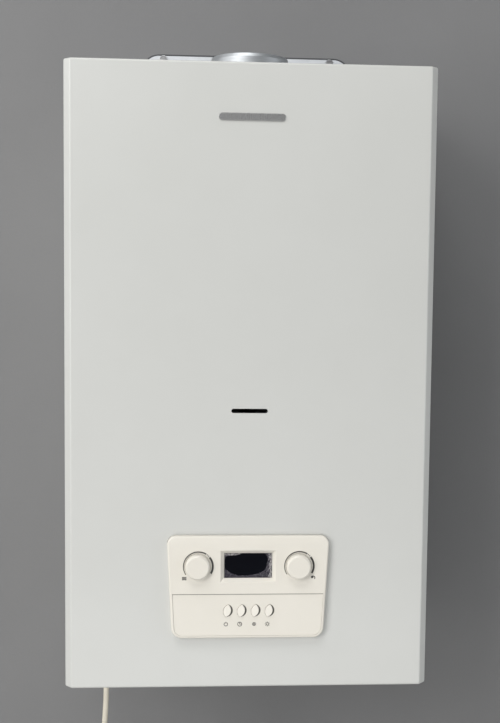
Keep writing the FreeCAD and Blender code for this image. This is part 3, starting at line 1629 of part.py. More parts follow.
def flow_pipe():
    """The copper pipe from the exchanger's outlet down to the three-way valve."""
    right = flow_pipe_right()
    places = [at(-chamber_half - cap_length, tube_last_out, tube_up), at(right, tube_last_out, tube_up),
              at(right, tube_last_out, flow_pipe_turn_up),
              at(flow_right, port_out, flow_port_top() + flow_pipe_foot),
              at(flow_right, port_out, flow_port_top())]
    return pipe(places, pipe_radius, pipe_bend)


def return_pipe():
    """The copper pipe from the pump up to the exchanger's inlet."""
    low = pump_up + pump_outlet_rise
    jog_low = low + return_jog_rise
    bend_out = tube_first_out
    places = [at(pump_outlet_right, pump_plane, low), at(pump_outlet_right, pump_plane, jog_low),
              at(return_pipe_right, pump_plane, jog_low + return_jog_height),
              at(return_pipe_right, pump_plane, air_floor + pump_outlet_rise),
              at(chamber_half + cap_length + pipe_side_run, bend_out, tube_up - pump_outlet_rise),
              at(chamber_half + cap_length + pipe_side_run, bend_out, tube_up),
              at(chamber_half + cap_length, bend_out, tube_up)]
    return pipe(places, pipe_radius, pipe_bend)


# Gas


def gas_inlet_pipe():
    """The gas connection and its pipe up into the gas valve."""
    places = [at(0, connection_out, -connection_drop), at(0, connection_out, gas_inlet_rise),
              at(0, gas_valve_out, gas_inlet_rise + gas_inlet_slant),
              at(0, gas_valve_out, gas_valve_bottom)]
    end = connection_end(0, three_quarter_radius)
    form = joined([pipe(places, gas_pipe_radius, gas_bend), end])
    return form.cut(connection_bore(0, three_quarter_radius))


def gas_valve():
    """The gas valve: a cast body with two coils on top and an outlet boss in front."""
    half = gas_valve_width / 2
    body = block(-half, half, gas_valve_out - gas_valve_depth / 2, gas_valve_front, gas_valve_bottom,
                 gas_valve_top)
    body = body.makeFillet(gas_valve_edge, edges_along(body, UP))
    pieces = [body]
    for side in (-1, 1):
        base = at(side * coil_spread, gas_valve_out, gas_valve_top)
        pieces.append(rod(base, UP, coil_height, coil_radius))
        pieces.append(rod(base + UP * coil_height, UP, coil_cap_height, coil_cap_radius))
    return joined(pieces)


def gas_pipe():
    """The pipe from the gas valve up to the manifold."""
    up = gas_valve_bottom + gas_outlet_up
    run = gas_valve_front + gas_outlet_run
    manifold_low = manifold_up - manifold_size / 2
    places = [at(0, gas_valve_front, up), at(0, run, up), at(0, run, up + gas_outlet_rise),
              at(0, manifold_out, manifold_low - gas_manifold_foot), at(0, manifold_out, manifold_low)]
    return pipe(places, gas_pipe_radius, gas_bend)


# Mains lead


def cord_gland():
    """The tapered strain relief under the tray, with its neck and nut above."""
    profile = [(0, 0), (gland_end_radius, 0), (gland_top_radius, gland_length - gland_flange),
               (gland_flange_radius, gland_length - gland_flange), (gland_flange_radius, gland_length),
               (gland_neck_radius, gland_length), (gland_neck_radius, gland_length + frame_sheet),
               (gland_nut_radius, gland_length + frame_sheet),
               (gland_nut_radius, gland_length + gland_neck_length), (0, gland_length + gland_neck_length)]
    return turned(profile, at(gland_right, gland_out, -gland_length), UP)


def coil_middle():
    """Half the coil's whole turning angle: where the spiral reverses."""
    return coil_turns_per_layer * 2 * math.pi


def coil_place(angle):
    """A point of the coil's centre line: in along one layer, over in a half turn, out along the next."""
    rate = coil_pitch / (2 * math.pi)
    away = abs(angle - coil_middle())
    quarter_turn = math.pi / 2
    if away < quarter_turn:
        radius = coil_inner_radius + rate * away * away / math.pi
        climb = (1 + math.sin((angle - coil_middle()))) / 2
    else:
        radius = coil_inner_radius + rate * (away - quarter_turn / 2)
        climb = 0 if angle < coil_middle() else 1
    outer = coil_inner_radius + rate * (coil_middle() - quarter_turn / 2)
    right = coil_entry_right + outer - radius * math.cos(angle)
    up = coil_entry_up - radius * math.sin(angle)
    return at(right, coil_entry_out - climb * coil_pitch, up)


def coil_heading(angle):
    step = 2 * math.pi / coil_steps_per_turn
    before, after = coil_place(angle - step), coil_place(angle + step)
    return (after - before).normalize()


def biarc(start, start_heading, end, end_heading):
    """Two arcs that join two places with given headings."""
    span = end - start
    both = start_heading + end_heading
    square = 2 * (start_heading.dot(end_heading) - 1)
    linear = -2 * span.dot(both)
    leg = (-linear - math.sqrt(linear * linear - 4 * square * span.dot(span))) / (2 * square)
    if leg < 0:
        leg = (-linear + math.sqrt(linear * linear - 4 * square * span.dot(span))) / (2 * square)
    first_corner, second_corner = start + start_heading * leg, end - end_heading * leg
    joint = (first_corner + second_corner) * 0.5
    return [tangent_arc(start, first_corner, joint), tangent_arc(joint, second_corner, end)]


def cord_coil():
    """The put-away lead: one tube that spirals in along one layer and out along the next."""
    total = 2 * coil_middle()
    count = int(round(total / (2 * math.pi) * coil_arcs_per_turn))
    angles = [total * index / count for index in range(count + 1)]
    first, last = coil_place(angles[0]), coil_place(angles[-1])
    edges = [Part.LineSegment(first - coil_heading(angles[0]) * cord_lead_in, first).toShape()]
    for low, high in zip(angles, angles[1:]):
        edges += biarc(coil_place(low), coil_heading(low), coil_place(high), coil_heading(high))
    edges.append(Part.LineSegment(last, last + coil_heading(angles[-1]) * cord_lead_in).toShape())
    path = Part.Wire(edges)
    report_coil_gap(path)
    return swept(path, cord_radius)


def report_coil_gap(path):
    """Print the coil's length and its least gap between one turn and another."""
    count = int(2 * coil_turns_per_layer * gap_samples_per_turn)
    places = path.discretize(count + 1)
    apart = gap_samples_per_turn // 2
    least = min(places[low].distanceToPoint(places[high])
                for low in range(count + 1) for high in range(low + apart, count + 1))
    print("coil length", round(path.Length, 1), "least gap", round(least - cord_diameter, 2))


def cord_stretch(name, places):
    """A free stretch of the lead, its bend radii and its volume against section times length."""
    path, radii = route(places)
    solid = swept(path, cord_radius)
    share = solid.Volume / (math.pi * cord_radius ** 2 * path.Length)
    print(name, "length", round(path.Length, 1), "radii", [round(radius) for radius in radii],
          "volume share", round(share, 4))
    return solid


def cord_drop():
    heading = coil_heading(0)
    start = coil_place(0) - heading * cord_lead_in
    places = [at(*place) for place in cord_drop_points] + [start - heading * cord_end_run, start]
    return cord_stretch("cord_drop", places)


def cord_tail():
    heading = coil_heading(2 * coil_middle())
    end = coil_place(2 * coil_middle()) + heading * cord_lead_in
    return cord_stretch("cord_tail",
                        [end, end + heading * cord_end_run] + [at(*place) for place in cord_tail_points])


def cord_tie():
    """A flat band round the coil's turns at its right side."""
    rate = coil_pitch / (2 * math.pi)
    outer = coil_inner_radius + rate * (coil_middle() - math.pi / 4)
    centre = coil_entry_right + outer
    room = cord_radius + tie_clearance
    left = centre + coil_inner_radius - room
    right = centre + outer + room
    back, front = coil_entry_out - coil_pitch - room, coil_entry_out + room
    corners = [at(left, back, 0), at(right, back, 0), at(right, front, 0), at(left, front, 0)]
    grown = [at(left - tie_sheet, back - tie_sheet, 0), at(right + tie_sheet, back - tie_sheet, 0),
             at(right + tie_sheet, front + tie_sheet, 0), at(left - tie_sheet, front + tie_sheet, 0)]
    band = slab(grown, [cord_radius + tie_sheet] * 4, UP * tie_width)
    band = band.cut(slab(corners, [cord_radius] * 4, UP * tie_width))
    band.translate(UP * (coil_entry_up - tie_width / 2))
    return band


def plug():
    """A round two-pin plug with a tapered neck, side flats for the earth clips and a face below."""
    heading = at(*cord_tail_points[-1]) - at(*cord_tail_points[-2])
    heading.normalize()
    base = at(*cord_tail_points[-1])
    length = plug_neck_length + plug_length
    profile = [(0, 0), (cord_diameter, 0), (plug_neck_radius, plug_neck_length - plug_shoulder),
               (plug_radius - plug_shoulder, plug_neck_length),
               (plug_radius, plug_neck_length + plug_shoulder),
               (plug_radius, length), (0, length)]
    body = turned(profile, FreeCAD.Vector(), UP)
    flats, pins = [], []
    for side in (-1, 1):
        near = side * (plug_radius - plug_clip_depth)
        flat = Part.makeBox(2 * plug_radius, plug_clip_width, plug_length,
                            FreeCAD.Vector(near if side > 0 else near - 2 * plug_radius,
                                           -plug_clip_width / 2,
                                           plug_neck_length + plug_shoulder))
        flats.append(flat)
        pin = rod(FreeCAD.Vector(0, side * plug_pin_pitch / 2, length), UP, plug_pin_length,
                  plug_pin_radius)
        pins.append(pin)
    solid = joined([body.cut(flats)] + pins)
    solid.Placement = FreeCAD.Placement(base, FreeCAD.Rotation(UP, heading))
    return solid


def build():
    os.makedirs("parts", exist_ok=True)
    keep("wall_bracket", wall_bracket())
    keep("back_frame", back_frame())
    keep("left_side_panel", side_panel(-1))
    keep("right_side_panel", side_panel(1))
    keep("top_plate", top_plate())
    keep("bottom_tray", bottom_tray())
    keep("front_cover", front_cover())
    keep("cover_studs", cover_studs())
    keep("control_fascia", control_fascia())
    keep("button_panel", button_panel())
    keep("display_window", display_window())
    keep("display_module", display_module())
    keep("control_board", control_board())
    keep("control_box", control_box())
    keep("control_box_cover", control_box_cover())
    keep("heating_knob", knob(-knob_offset))
    keep("hot_water_knob", knob(knob_offset))
    for name, right in zip(button_names, button_places()):
        keep(name, button(right))
    keep("flue_collar", flue_collar())
    keep("inner_flue", inner_flue())
    keep("air_box", air_box())
    keep("air_box_cover", air_box_cover())
    keep("air_box_window", air_box_window())
    keep("combustion_chamber", combustion_chamber())
    keep("chamber_insulation", chamber_insulation())
    keep("chamber_sight_glass", chamber_sight_glass())
    keep("burner_bars", burner_bars())
    keep("gas_manifold", gas_manifold())
    keep("electrodes", electrodes())
    keep("heat_exchanger", heat_exchanger())
    keep("flue_hood", flue_hood())
    keep("fan_housing", fan_housing())
    keep("fan_impeller", fan_impeller())
    keep("fan_motor", fan_motor())
    keep("air_pressure_switch", air_pressure_switch())
    keep("expansion_vessel", expansion_vessel())
    keep("vessel_pipe", vessel_pipe())
    keep("pump_body", pump_body())
    keep("pump_impeller", pump_impeller())
    keep("pump_motor", pump_motor())
    keep("flow_group", flow_group())
    keep("valve_actuator", valve_actuator())
    keep("return_group", return_group())
    keep("relief_valve", relief_valve())
    keep("filling_tap_knob", filling_tap_knob())
    keep("plate_heat_exchanger", plate_heat_exchanger())
    keep("flow_pipe", flow_pipe())
    keep("return_pipe", return_pipe())
    keep("gas_inlet_pipe", gas_inlet_pipe())
    keep("gas_valve", gas_valve())
    keep("gas_pipe", gas_pipe())
    keep("cord_gland", cord_gland())
    keep("cord_drop", cord_drop())
    keep("cord_coil", cord_coil())
    keep("cord_tail", cord_tail())
    keep("cord_tie", cord_tie())
    keep("plug", plug())


build()
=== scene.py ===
"""Wall-hung gas boiler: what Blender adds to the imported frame, in metres.

Materials for the nodes, printed marks, small fasteners, the mains lead, stage, lights and camera.
"""
import json
import math

import bmesh
import bpy
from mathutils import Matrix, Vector


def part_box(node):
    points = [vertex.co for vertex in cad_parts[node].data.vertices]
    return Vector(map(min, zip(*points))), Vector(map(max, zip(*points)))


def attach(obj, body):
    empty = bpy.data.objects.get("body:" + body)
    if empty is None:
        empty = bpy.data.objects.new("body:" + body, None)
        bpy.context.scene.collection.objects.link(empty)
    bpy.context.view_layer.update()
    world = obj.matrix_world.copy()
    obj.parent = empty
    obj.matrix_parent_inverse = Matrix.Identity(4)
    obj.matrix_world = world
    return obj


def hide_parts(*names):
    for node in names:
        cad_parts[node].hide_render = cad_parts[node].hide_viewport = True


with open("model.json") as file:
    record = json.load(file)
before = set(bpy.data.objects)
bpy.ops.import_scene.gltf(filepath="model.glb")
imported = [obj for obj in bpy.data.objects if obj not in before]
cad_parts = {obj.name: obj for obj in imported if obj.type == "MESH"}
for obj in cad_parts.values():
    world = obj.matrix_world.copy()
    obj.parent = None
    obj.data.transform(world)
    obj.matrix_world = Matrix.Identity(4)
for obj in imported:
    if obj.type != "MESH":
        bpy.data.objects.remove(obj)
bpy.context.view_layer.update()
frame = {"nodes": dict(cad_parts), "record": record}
nodes = frame["nodes"]

# Sizes
MM = 0.001
MICRON = 0.000001
CASING_LOW, CASING_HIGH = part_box("front_cover")
PANEL_LOW, PANEL_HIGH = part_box("button_panel")
WINDOW_LOW, WINDOW_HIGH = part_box("display_window")
COLLAR_LOW, COLLAR_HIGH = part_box("flue_collar")
BRACKET_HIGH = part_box("wall_bracket")[1]
BOTTOM_Z = CASING_LOW.z

# Faces that carry pieces, all of them towards -Y
FACE_Y = CASING_LOW.y
FASCIA_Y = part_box("control_fascia")[0].y
PANEL_Y = PANEL_LOW.y
WINDOW_Y = WINDOW_LOW.y
BRACKET_FACE_Y = -2.5 * MM

OUTWARD, UPWARD = (0, -1, 0), (0, 0, 1)
ARC_STEPS = 48


# Materials
FINISH = "finish_"
EVEN = (1, 1, 1)
NOISE_RANGE = (0.3, 0.7)
GRAIN_DETAIL = 2.0
GRAIN_STRENGTH = 0.5


def new_material(name):
    """A material with its node tree and its shader."""
    material = bpy.data.materials.new(FINISH + name)
    material.use_nodes = True
    tree = material.node_tree
    return material, tree, tree.nodes["Principled BSDF"]


def object_place(tree):
    """The place on the surface, in the object's own metres."""
    return tree.nodes.new("ShaderNodeTexCoord").outputs["Object"]


def noise(tree, scale, detail=4.0, roughness=0.55, stretch=EVEN):
    """Noise in the object's own metres, stretched along an axis where asked."""
    mapping = tree.nodes.new("ShaderNodeMapping")
    mapping.inputs["Scale"].default_value = stretch
    texture = tree.nodes.new("ShaderNodeTexNoise")
    texture.inputs["Scale"].default_value = scale
    texture.inputs["Detail"].default_value = detail
    texture.inputs["Roughness"].default_value = roughness
    tree.links.new(object_place(tree), mapping.inputs["Vector"])
    tree.links.new(mapping.outputs["Vector"], texture.inputs["Vector"])
    return texture.outputs["Fac"]


def ramp(tree, value, positions, colours):
    """A value turned into colours, each at its position."""
    node = tree.nodes.new("ShaderNodeValToRGB")
    elements = node.color_ramp.elements
    while len(elements) < len(colours):
        elements.new(0.5)
    for element, position, colour in zip(elements, positions, colours):
        element.position = position
        element.color = (*colour, 1)
    tree.links.new(value, node.inputs["Fac"])
    return node.outputs["Color"]


def spread(tree, value, low, high, span=NOISE_RANGE):
    """A value that goes over a span, spread between two numbers."""
    node = tree.nodes.new("ShaderNodeMapRange")
    node.inputs["From Min"].default_value, node.inputs["From Max"].default_value = span
    node.inputs["To Min"].default_value = low
    node.inputs["To Max"].default_value = high
    tree.links.new(value, node.inputs["Value"])
    return node.outputs["Result"]


def combine(tree, operation, one, other):
    """Two values added or multiplied."""
    node = tree.nodes.new("ShaderNodeMath")
    node.operation = operation
    tree.links.new(one, node.inputs[0])
    tree.links.new(other, node.inputs[1])
    return node.outputs["Value"]


def bump(tree, shader, height, strength, distance):
    """Bumps on the shader's surface, from a height of 0 to 1."""
    node = tree.nodes.new("ShaderNodeBump")
    node.inputs["Strength"].default_value = strength
    node.inputs["Distance"].default_value = distance
    tree.links.new(height, node.inputs["Height"])
    tree.links.new(node.outputs["Normal"], shader.inputs["Normal"])


def surface(name, dark, light, cloud_scale, roughness, grain_scale, grain_microns,
            metallic=0.0, stretch=EVEN):
    """A surface whose colour clouds between two tones, with its own grain and roughness."""
    material, tree, shader = new_material(name)
    shader.inputs["Metallic"].default_value = metallic
    cloud = noise(tree, cloud_scale, stretch=stretch)
    tree.links.new(ramp(tree, cloud, NOISE_RANGE, (dark, light)), shader.inputs["Base Color"])
    grain = noise(tree, grain_scale, detail=GRAIN_DETAIL, stretch=stretch)
    tree.links.new(spread(tree, grain, *roughness), shader.inputs["Roughness"])
    bump(tree, shader, grain, GRAIN_STRENGTH, grain_microns * MICRON)
    return material


SPANGLE_METALLIC = 0.9
SPANGLE_GRAINS = 12
SPANGLE_STRENGTH = 0.25
SPANGLE_DEPTH = 40 * MICRON


def spangle(name, dark, light, scale, roughness):
    """Galvanised sheet: crystal patches of slightly different brightness."""
    material, tree, shader = new_material(name)
    shader.inputs["Metallic"].default_value = SPANGLE_METALLIC
    cells = tree.nodes.new("ShaderNodeTexVoronoi")
    cells.inputs["Scale"].default_value = scale
    tree.links.new(object_place(tree), cells.inputs["Vector"])
    patch = tree.nodes.new("ShaderNodeSeparateColor")
    tree.links.new(cells.outputs["Color"], patch.inputs["Color"])
    tree.links.new(ramp(tree, patch.outputs["Red"], (0, 1), (dark, light)), shader.inputs["Base Color"])
    tree.links.new(spread(tree, patch.outputs["Green"], *roughness), shader.inputs["Roughness"])
    bump(tree, shader, noise(tree, scale * SPANGLE_GRAINS), SPANGLE_STRENGTH, SPANGLE_DEPTH)
    return material


GLASS_IOR = 1.45
SMEAR_SCALE = 60
SMEAR_DETAIL = 3.0
SMEAR_RANGE = (0.35, 0.65)
SMEAR_SHADE = 0.8


def clear(name, colour, roughness, transmission, shine=0.5):
    """Glass with faint smears."""
    material, tree, shader = new_material(name)
    shader.inputs["Transmission Weight"].default_value = transmission
    shader.inputs["IOR"].default_value = GLASS_IOR
    shader.inputs["Specular IOR Level"].default_value = shine
    smear = noise(tree, SMEAR_SCALE, detail=SMEAR_DETAIL)
    dark = tuple(SMEAR_SHADE * part for part in colour)
    tree.links.new(ramp(tree, smear, SMEAR_RANGE, (dark, colour)), shader.inputs["Base Color"])
    tree.links.new(spread(tree, smear, *roughness), shader.inputs["Roughness"])
    return material


CREASE_SCALE = 520
CREASE_DETAIL = 6.0
CREASE_ROUGHNESS = 0.75
CREASE_STRETCH = (1.8, 1, 0.9)
CREASE_STRENGTH = 1.0
CREASE_DEPTH = 1.2 * MM
# painted highlights on the film: light tones added towards its right end and in its upper left corner
MILKY_GLINT_END = 0.20
MILKY_GLINT_END_SHARES = (0.70, 0.92)
MILKY_GLINT_CORNER = 0.17
MILKY_GLINT_CORNER_DEPTHS = (7.5 * MM, 3.0 * MM)
MILKY_GLINT_CORNER_SHARES = (0.15, -0.15)
FILM_TONE_PLACES = (0.42, 0.60, 0.72)
FILM_TONES = ((0.020, 0.018, 0.030), (0.060, 0.052, 0.075), (0.60, 0.58, 0.57))
FILM_ROUGHNESS = (0.10, 0.24)
FILM_ALPHA = 0.75


def loose_film(name):
    """Clear film that stands off the glass: crumpled and glossy, whitish where it lifts, with painted
    highlights on its creases towards its right end and upper left.
    """
    material, tree, shader = new_material(name)
    crease = noise(tree, CREASE_SCALE, CREASE_DETAIL, CREASE_ROUGHNESS, CREASE_STRETCH)
    split = tree.nodes.new("ShaderNodeSeparateXYZ")
    tree.links.new(object_place(tree), split.inputs["Vector"])
    across, up = split.outputs["X"], split.outputs["Z"]
    end = spread(tree, across, 0, MILKY_GLINT_END, [share * WINDOW_HIGH.x for share in MILKY_GLINT_END_SHARES])
    high = spread(tree, up, 0, MILKY_GLINT_CORNER, [WINDOW_HIGH.z - depth for depth in MILKY_GLINT_CORNER_DEPTHS])
    left = spread(tree, across, 0, 1, [share * WINDOW_HIGH.x for share in MILKY_GLINT_CORNER_SHARES])
    corner = combine(tree, "MULTIPLY", high, left)
    # the creases reach the light tone partly as whitish lifted film and partly as painted highlights
    milky_glint = combine(tree, "ADD", crease, combine(tree, "ADD", end, corner))
    tree.links.new(ramp(tree, milky_glint, FILM_TONE_PLACES, FILM_TONES), shader.inputs["Base Color"])
    tree.links.new(spread(tree, crease, *FILM_ROUGHNESS), shader.inputs["Roughness"])
    shader.inputs["Alpha"].default_value = FILM_ALPHA
    bump(tree, shader, crease, CREASE_STRENGTH, CREASE_DEPTH)
    return material


# Dark tone, light tone, cloud scale, roughness from and to, grain scale and grain depth in microns,
# and for some how metallic they are and how their grain is stretched
SURFACES = {
    "powder_white": ((0.575, 0.580, 0.560), (0.610, 0.615, 0.598), 3, (0.30, 0.36), 900, 30),
    "moulded_cream": ((0.730, 0.699, 0.632), (0.755, 0.723, 0.658), 14, (0.34, 0.42), 2600, 12),
    "button_cream": ((0.755, 0.724, 0.658), (0.778, 0.747, 0.683), 30, (0.28, 0.34), 2600, 8),
    "ink_grey": ((0.030, 0.029, 0.027), (0.042, 0.040, 0.037), 300, (0.45, 0.55), 3000, 4),
    # painted shadow: the line under the fascia's ledge above the lower panel
    "seam_shade": ((0.230, 0.218, 0.195), (0.255, 0.242, 0.216), 200, (0.60, 0.70), 2600, 4),
    # painted shadow: the crescent cast beside each button's raised right edge
    "gap_shade": ((0.095, 0.089, 0.079), (0.115, 0.108, 0.096), 200, (0.60, 0.70), 2600, 4),
    "box_grey": ((0.050, 0.052, 0.056), (0.065, 0.067, 0.072), 20, (0.45, 0.55), 1800, 20),
    "board_green": ((0.012, 0.060, 0.025), (0.018, 0.085, 0.035), 60, (0.35, 0.45), 500, 30),
    "display_black": ((0.004, 0.005, 0.010), (0.006, 0.008, 0.016), 30, (0.06, 0.10), 400, 2),
    "brushed_aluminium": ((0.60, 0.61, 0.62), (0.72, 0.73, 0.74), 60, (0.26, 0.36), 500, 30, 1.0,
                          (1, 1, 14)),
    "collar_satin": ((0.46, 0.48, 0.50), (0.54, 0.56, 0.58), 60, (0.46, 0.56), 500, 20, 0.9, (1, 1, 14)),
    "fibre_board": ((0.66, 0.63, 0.56), (0.74, 0.71, 0.64), 40, (0.90, 1.0), 700, 300),
    "ceramic_white": ((0.76, 0.75, 0.71), (0.80, 0.79, 0.75), 50, (0.12, 0.18), 300, 10),
    "copper": ((0.54, 0.22, 0.115), (0.63, 0.28, 0.155), 10, (0.25, 0.37), 250, 15, 1.0),
    "brass": ((0.50, 0.33, 0.10), (0.62, 0.44, 0.17), 30, (0.28, 0.42), 260, 50, 1.0),
    "bar_steel": ((0.36, 0.36, 0.37), (0.50, 0.50, 0.51), 40, (0.30, 0.45), 600, 30, 1.0, (1, 6, 1)),
    "zinc_pale": ((0.60, 0.62, 0.65), (0.68, 0.70, 0.73), 30, (0.46, 0.56), 600, 20, 0.3),
    "vessel_red": ((0.30, 0.018, 0.012), (0.36, 0.024, 0.016), 8, (0.28, 0.36), 700, 40),
    "motor_black": ((0.010, 0.010, 0.011), (0.018, 0.018, 0.020), 30, (0.40, 0.50), 900, 30),
    "tap_blue": ((0.014, 0.040, 0.20), (0.020, 0.055, 0.25), 60, (0.35, 0.45), 1500, 20),
    "cord_sheath": ((0.72, 0.67, 0.56), (0.78, 0.73, 0.62), 40, (0.42, 0.52), 1200, 20),
    "plug_cream": ((0.60, 0.58, 0.52), (0.65, 0.63, 0.57), 50, (0.40, 0.50), 1400, 20),
    "badge_satin": ((0.50, 0.50, 0.50), (0.60, 0.60, 0.60), 120, (0.24, 0.32), 700, 10, 0.8, (1, 1, 20)),
    "wall_paint": ((0.178, 0.178, 0.181), (0.207, 0.207, 0.210), 1.5, (0.65, 0.75), 350, 200),
    "floor_paint": ((0.62, 0.62, 0.61), (0.68, 0.68, 0.67), 1, (0.6, 0.7), 200, 200),
}
# Dark tone, light tone, cell scale, roughness from and to
SPANGLES = {
    "galvanised": ((0.50, 0.51, 0.52), (0.64, 0.65, 0.66), 140, (0.30, 0.42)),
    "zinc_plain": ((0.55, 0.56, 0.57), (0.66, 0.67, 0.68), 260, (0.34, 0.44)),
}
# Colour, roughness from and to, transmission, and for some how they shine
GLASSES = {
    "window_glass": ((0.92, 0.95, 0.94), (0.02, 0.05), 0.95),
    "display_glass": ((0.0010, 0.0014, 0.0040), (0.03, 0.07), 0.0, 0.15),
}
NODE_MATERIALS = {
    "powder_white": ("front_cover", "left_side_panel", "right_side_panel"),
    "zinc_pale": ("wall_bracket",),
    "galvanised": ("back_frame", "top_plate", "bottom_tray", "air_box", "air_box_cover"),
    "zinc_plain": ("combustion_chamber", "flue_hood", "fan_housing", "gas_manifold", "cover_studs"),
    "bar_steel": ("burner_bars", "fan_impeller", "plate_heat_exchanger"),
    "moulded_cream": ("control_fascia", "button_panel", "heating_knob", "hot_water_knob"),
    "button_cream": ("standby_button", "timer_button", "mode_button", "season_button"),
    "box_grey": ("control_box", "control_box_cover", "valve_actuator", "air_pressure_switch", "pump_body",
                 "pump_impeller"),
    "board_green": ("control_board",),
    "display_glass": ("display_window",),
    "display_black": ("display_module",),
    "window_glass": ("air_box_window", "chamber_sight_glass"),
    "collar_satin": ("flue_collar",),
    "brushed_aluminium": ("inner_flue", "gas_valve"),
    "fibre_board": ("chamber_insulation",),
    "ceramic_white": ("electrodes",),
    "copper": ("heat_exchanger", "flow_pipe", "return_pipe", "gas_pipe", "gas_inlet_pipe", "vessel_pipe"),
    "brass": ("flow_group", "return_group", "relief_valve"),
    "vessel_red": ("expansion_vessel",),
    "motor_black": ("pump_motor", "fan_motor"),
    "tap_blue": ("filling_tap_knob",),
    "plug_cream": ("cord_gland", "plug", "cord_tie"),
}


def make_materials():
    """Every material by its name."""
    makers = ((surface, SURFACES), (spangle, SPANGLES), (clear, GLASSES))
    made = {name: make(name, *values) for make, table in makers for name, values in table.items()}
    made["film"] = loose_film("film")
    return made


def dress_nodes(materials):
    """The CAD nodes' own slots get their materials."""
    for name, members in NODE_MATERIALS.items():
        for member in members:
            for mesh_slot in nodes[member].material_slots:
                mesh_slot.material = materials[name]


# Forms that pieces are made of
INK_THICKNESS = 0.05 * MM
TURNED_STEPS = 24


def mesh_piece(name, build, material, body):
    """A new piece from a mesh-building function, riding on a body."""
    mesh = bpy.data.meshes.new(name)
    work = bmesh.new()
    build(work)
    bmesh.ops.recalc_face_normals(work, faces=work.faces)
    work.to_mesh(mesh)
    work.free()
    mesh.materials.append(material)
    piece = bpy.data.objects.new(name, mesh)
    bpy.context.scene.collection.objects.link(piece)
    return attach(piece, body)


def node_centre(node):
    """The middle of a node's box, in x and z."""
    low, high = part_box(node)
    return (low.x + high.x) / 2, (low.z + high.z) / 2


def circle_points(x, z, radius, steps):
    """Points round a circle."""
    angles = [2 * math.pi * step / steps for step in range(steps)]
    return [(x + radius * math.cos(angle), z + radius * math.sin(angle)) for angle in angles]


def rectangle(x, z, half_width, half_height):
    """The corners of a rectangle round its middle."""
    left, right, low, high = x - half_width, x + half_width, z - half_height, z + half_height
    return [(left, low), (right, low), (right, high), (left, high)]


def band_points(x, z, outer_radius, angles, width_at):
    """A band inside an arc between two angles in degrees, as wide as width_at says from 0 to 1."""
    start, end = angles
    outer, inner = [], []
    for step in range(ARC_STEPS + 1):
        share = step / ARC_STEPS
        angle = math.radians(start + (end - start) * share)
        inner_radius = outer_radius - width_at(share)
        outer.append((x + outer_radius * math.cos(angle), z + outer_radius * math.sin(angle)))
        inner.append((x + inner_radius * math.cos(angle), z + inner_radius * math.sin(angle)))
    return outer + inner[::-1]


def arc_through(start, middle, end):
    """Points along the arc from start through middle to end."""
    (ax, az), (bx, bz), (cx, cz) = start, middle, end
    twice = 2 * (ax * (bz - cz) + bx * (cz - az) + cx * (az - bz))
    a, b, c = ax * ax + az * az, bx * bx + bz * bz, cx * cx + cz * cz
    x = (a * (bz - cz) + b * (cz - az) + c * (az - bz)) / twice
    z = (a * (cx - bx) + b * (ax - cx) + c * (bx - ax)) / twice
    radius = math.dist((x, z), start)
    first, last = math.atan2(az - z, ax - x), math.atan2(cz - z, cx - x)
    angles = [first + (last - first) * step / ARC_STEPS for step in range(ARC_STEPS + 1)]
    return [(x + radius * math.cos(angle), z + radius * math.sin(angle)) for angle in angles]


def add_mark(work, outline, back_y):
    """A mark with an outline in x and z, as thick as ink, on a face at back_y."""
    back = [work.verts.new((x, back_y, z)) for x, z in outline]
    front = [work.verts.new((x, back_y - INK_THICKNESS, z)) for x, z in outline]
    work.faces.new(front)
    work.faces.new(list(reversed(back)))
    for index in range(len(outline)):
        after = (index + 1) % len(outline)
        work.faces.new((back[index], back[after], front[after], front[index]))


def add_band(work, points, back_y):
    """A long mark made of quads, so that it fills well: capped at its ends, or joined where they meet."""
    count = len(points) // 2
    outer, inner = points[:count], points[count:][::-1]
    joined = math.dist(outer[0], outer[-1]) < INK_THICKNESS
    used = count - 1 if joined else count
    rows = []
    for y in (back_y, back_y - INK_THICKNESS):
        rows.append([[work.verts.new((x, y, z)) for x, z in line[:used]] for line in (outer, inner)])
    (back_outer, back_inner), (front_outer, front_inner) = rows
    for index in range(count - 1):
        after = (index + 1) % used
        work.faces.new((front_outer[index], front_outer[after], front_inner[after], front_inner[index]))
        work.faces.new((back_outer[index], back_inner[index], back_inner[after], back_outer[after]))
        work.faces.new((back_outer[index], back_outer[after], front_outer[after], front_outer[index]))
        work.faces.new((back_inner[index], front_inner[index], front_inner[after], back_inner[after]))
    for index in () if joined else (0, -1):
        work.faces.new((back_outer[index], front_outer[index], front_inner[index], back_inner[index]))


def add_turned(work, centre, axis, radius, height, shares, steps=TURNED_STEPS):
    """A turned form: shares of a radius and a height, spun about an axis from a centre."""
    axis = Vector(axis).normalized()
    side = axis.orthogonal().normalized()
    other = axis.cross(side)
    rings = []
    for radius_share, height_share in shares:
        ring = []
        for step in range(steps):
            angle = 2 * math.pi * step / steps
            spoke = side * math.cos(angle) + other * math.sin(angle)
            place = Vector(centre) + axis * (height * height_share) + spoke * (radius * radius_share)
            ring.append(work.verts.new(place))
        rings.append(ring)
    for lower, upper in zip(rings, rings[1:]):
        for step in range(steps):
            after = (step + 1) % steps
            work.faces.new((lower[step], lower[after], upper[after], upper[step]))
    work.faces.new(list(reversed(rings[0])))
    work.faces.new(rings[-1])


# Scales round the knobs, with angles in degrees
SCALE_RADIUS = 18.2 * MM
SCALE_SHIFT = 0.9 * MM
SCALE_THIN = 0.9 * MM
SCALE_RISEN = 1.6 * MM
SCALE_RISE_ANGLES = (214, 58)
SCALE_BOLD = 2.3 * MM
SCALE_BOLD_ANGLES = (40, -30)
SCALE_DOT = 1.3 * MM
SCALE_DOT_ANGLES = (46, 53)
SCALE_DOT_STEPS = 16


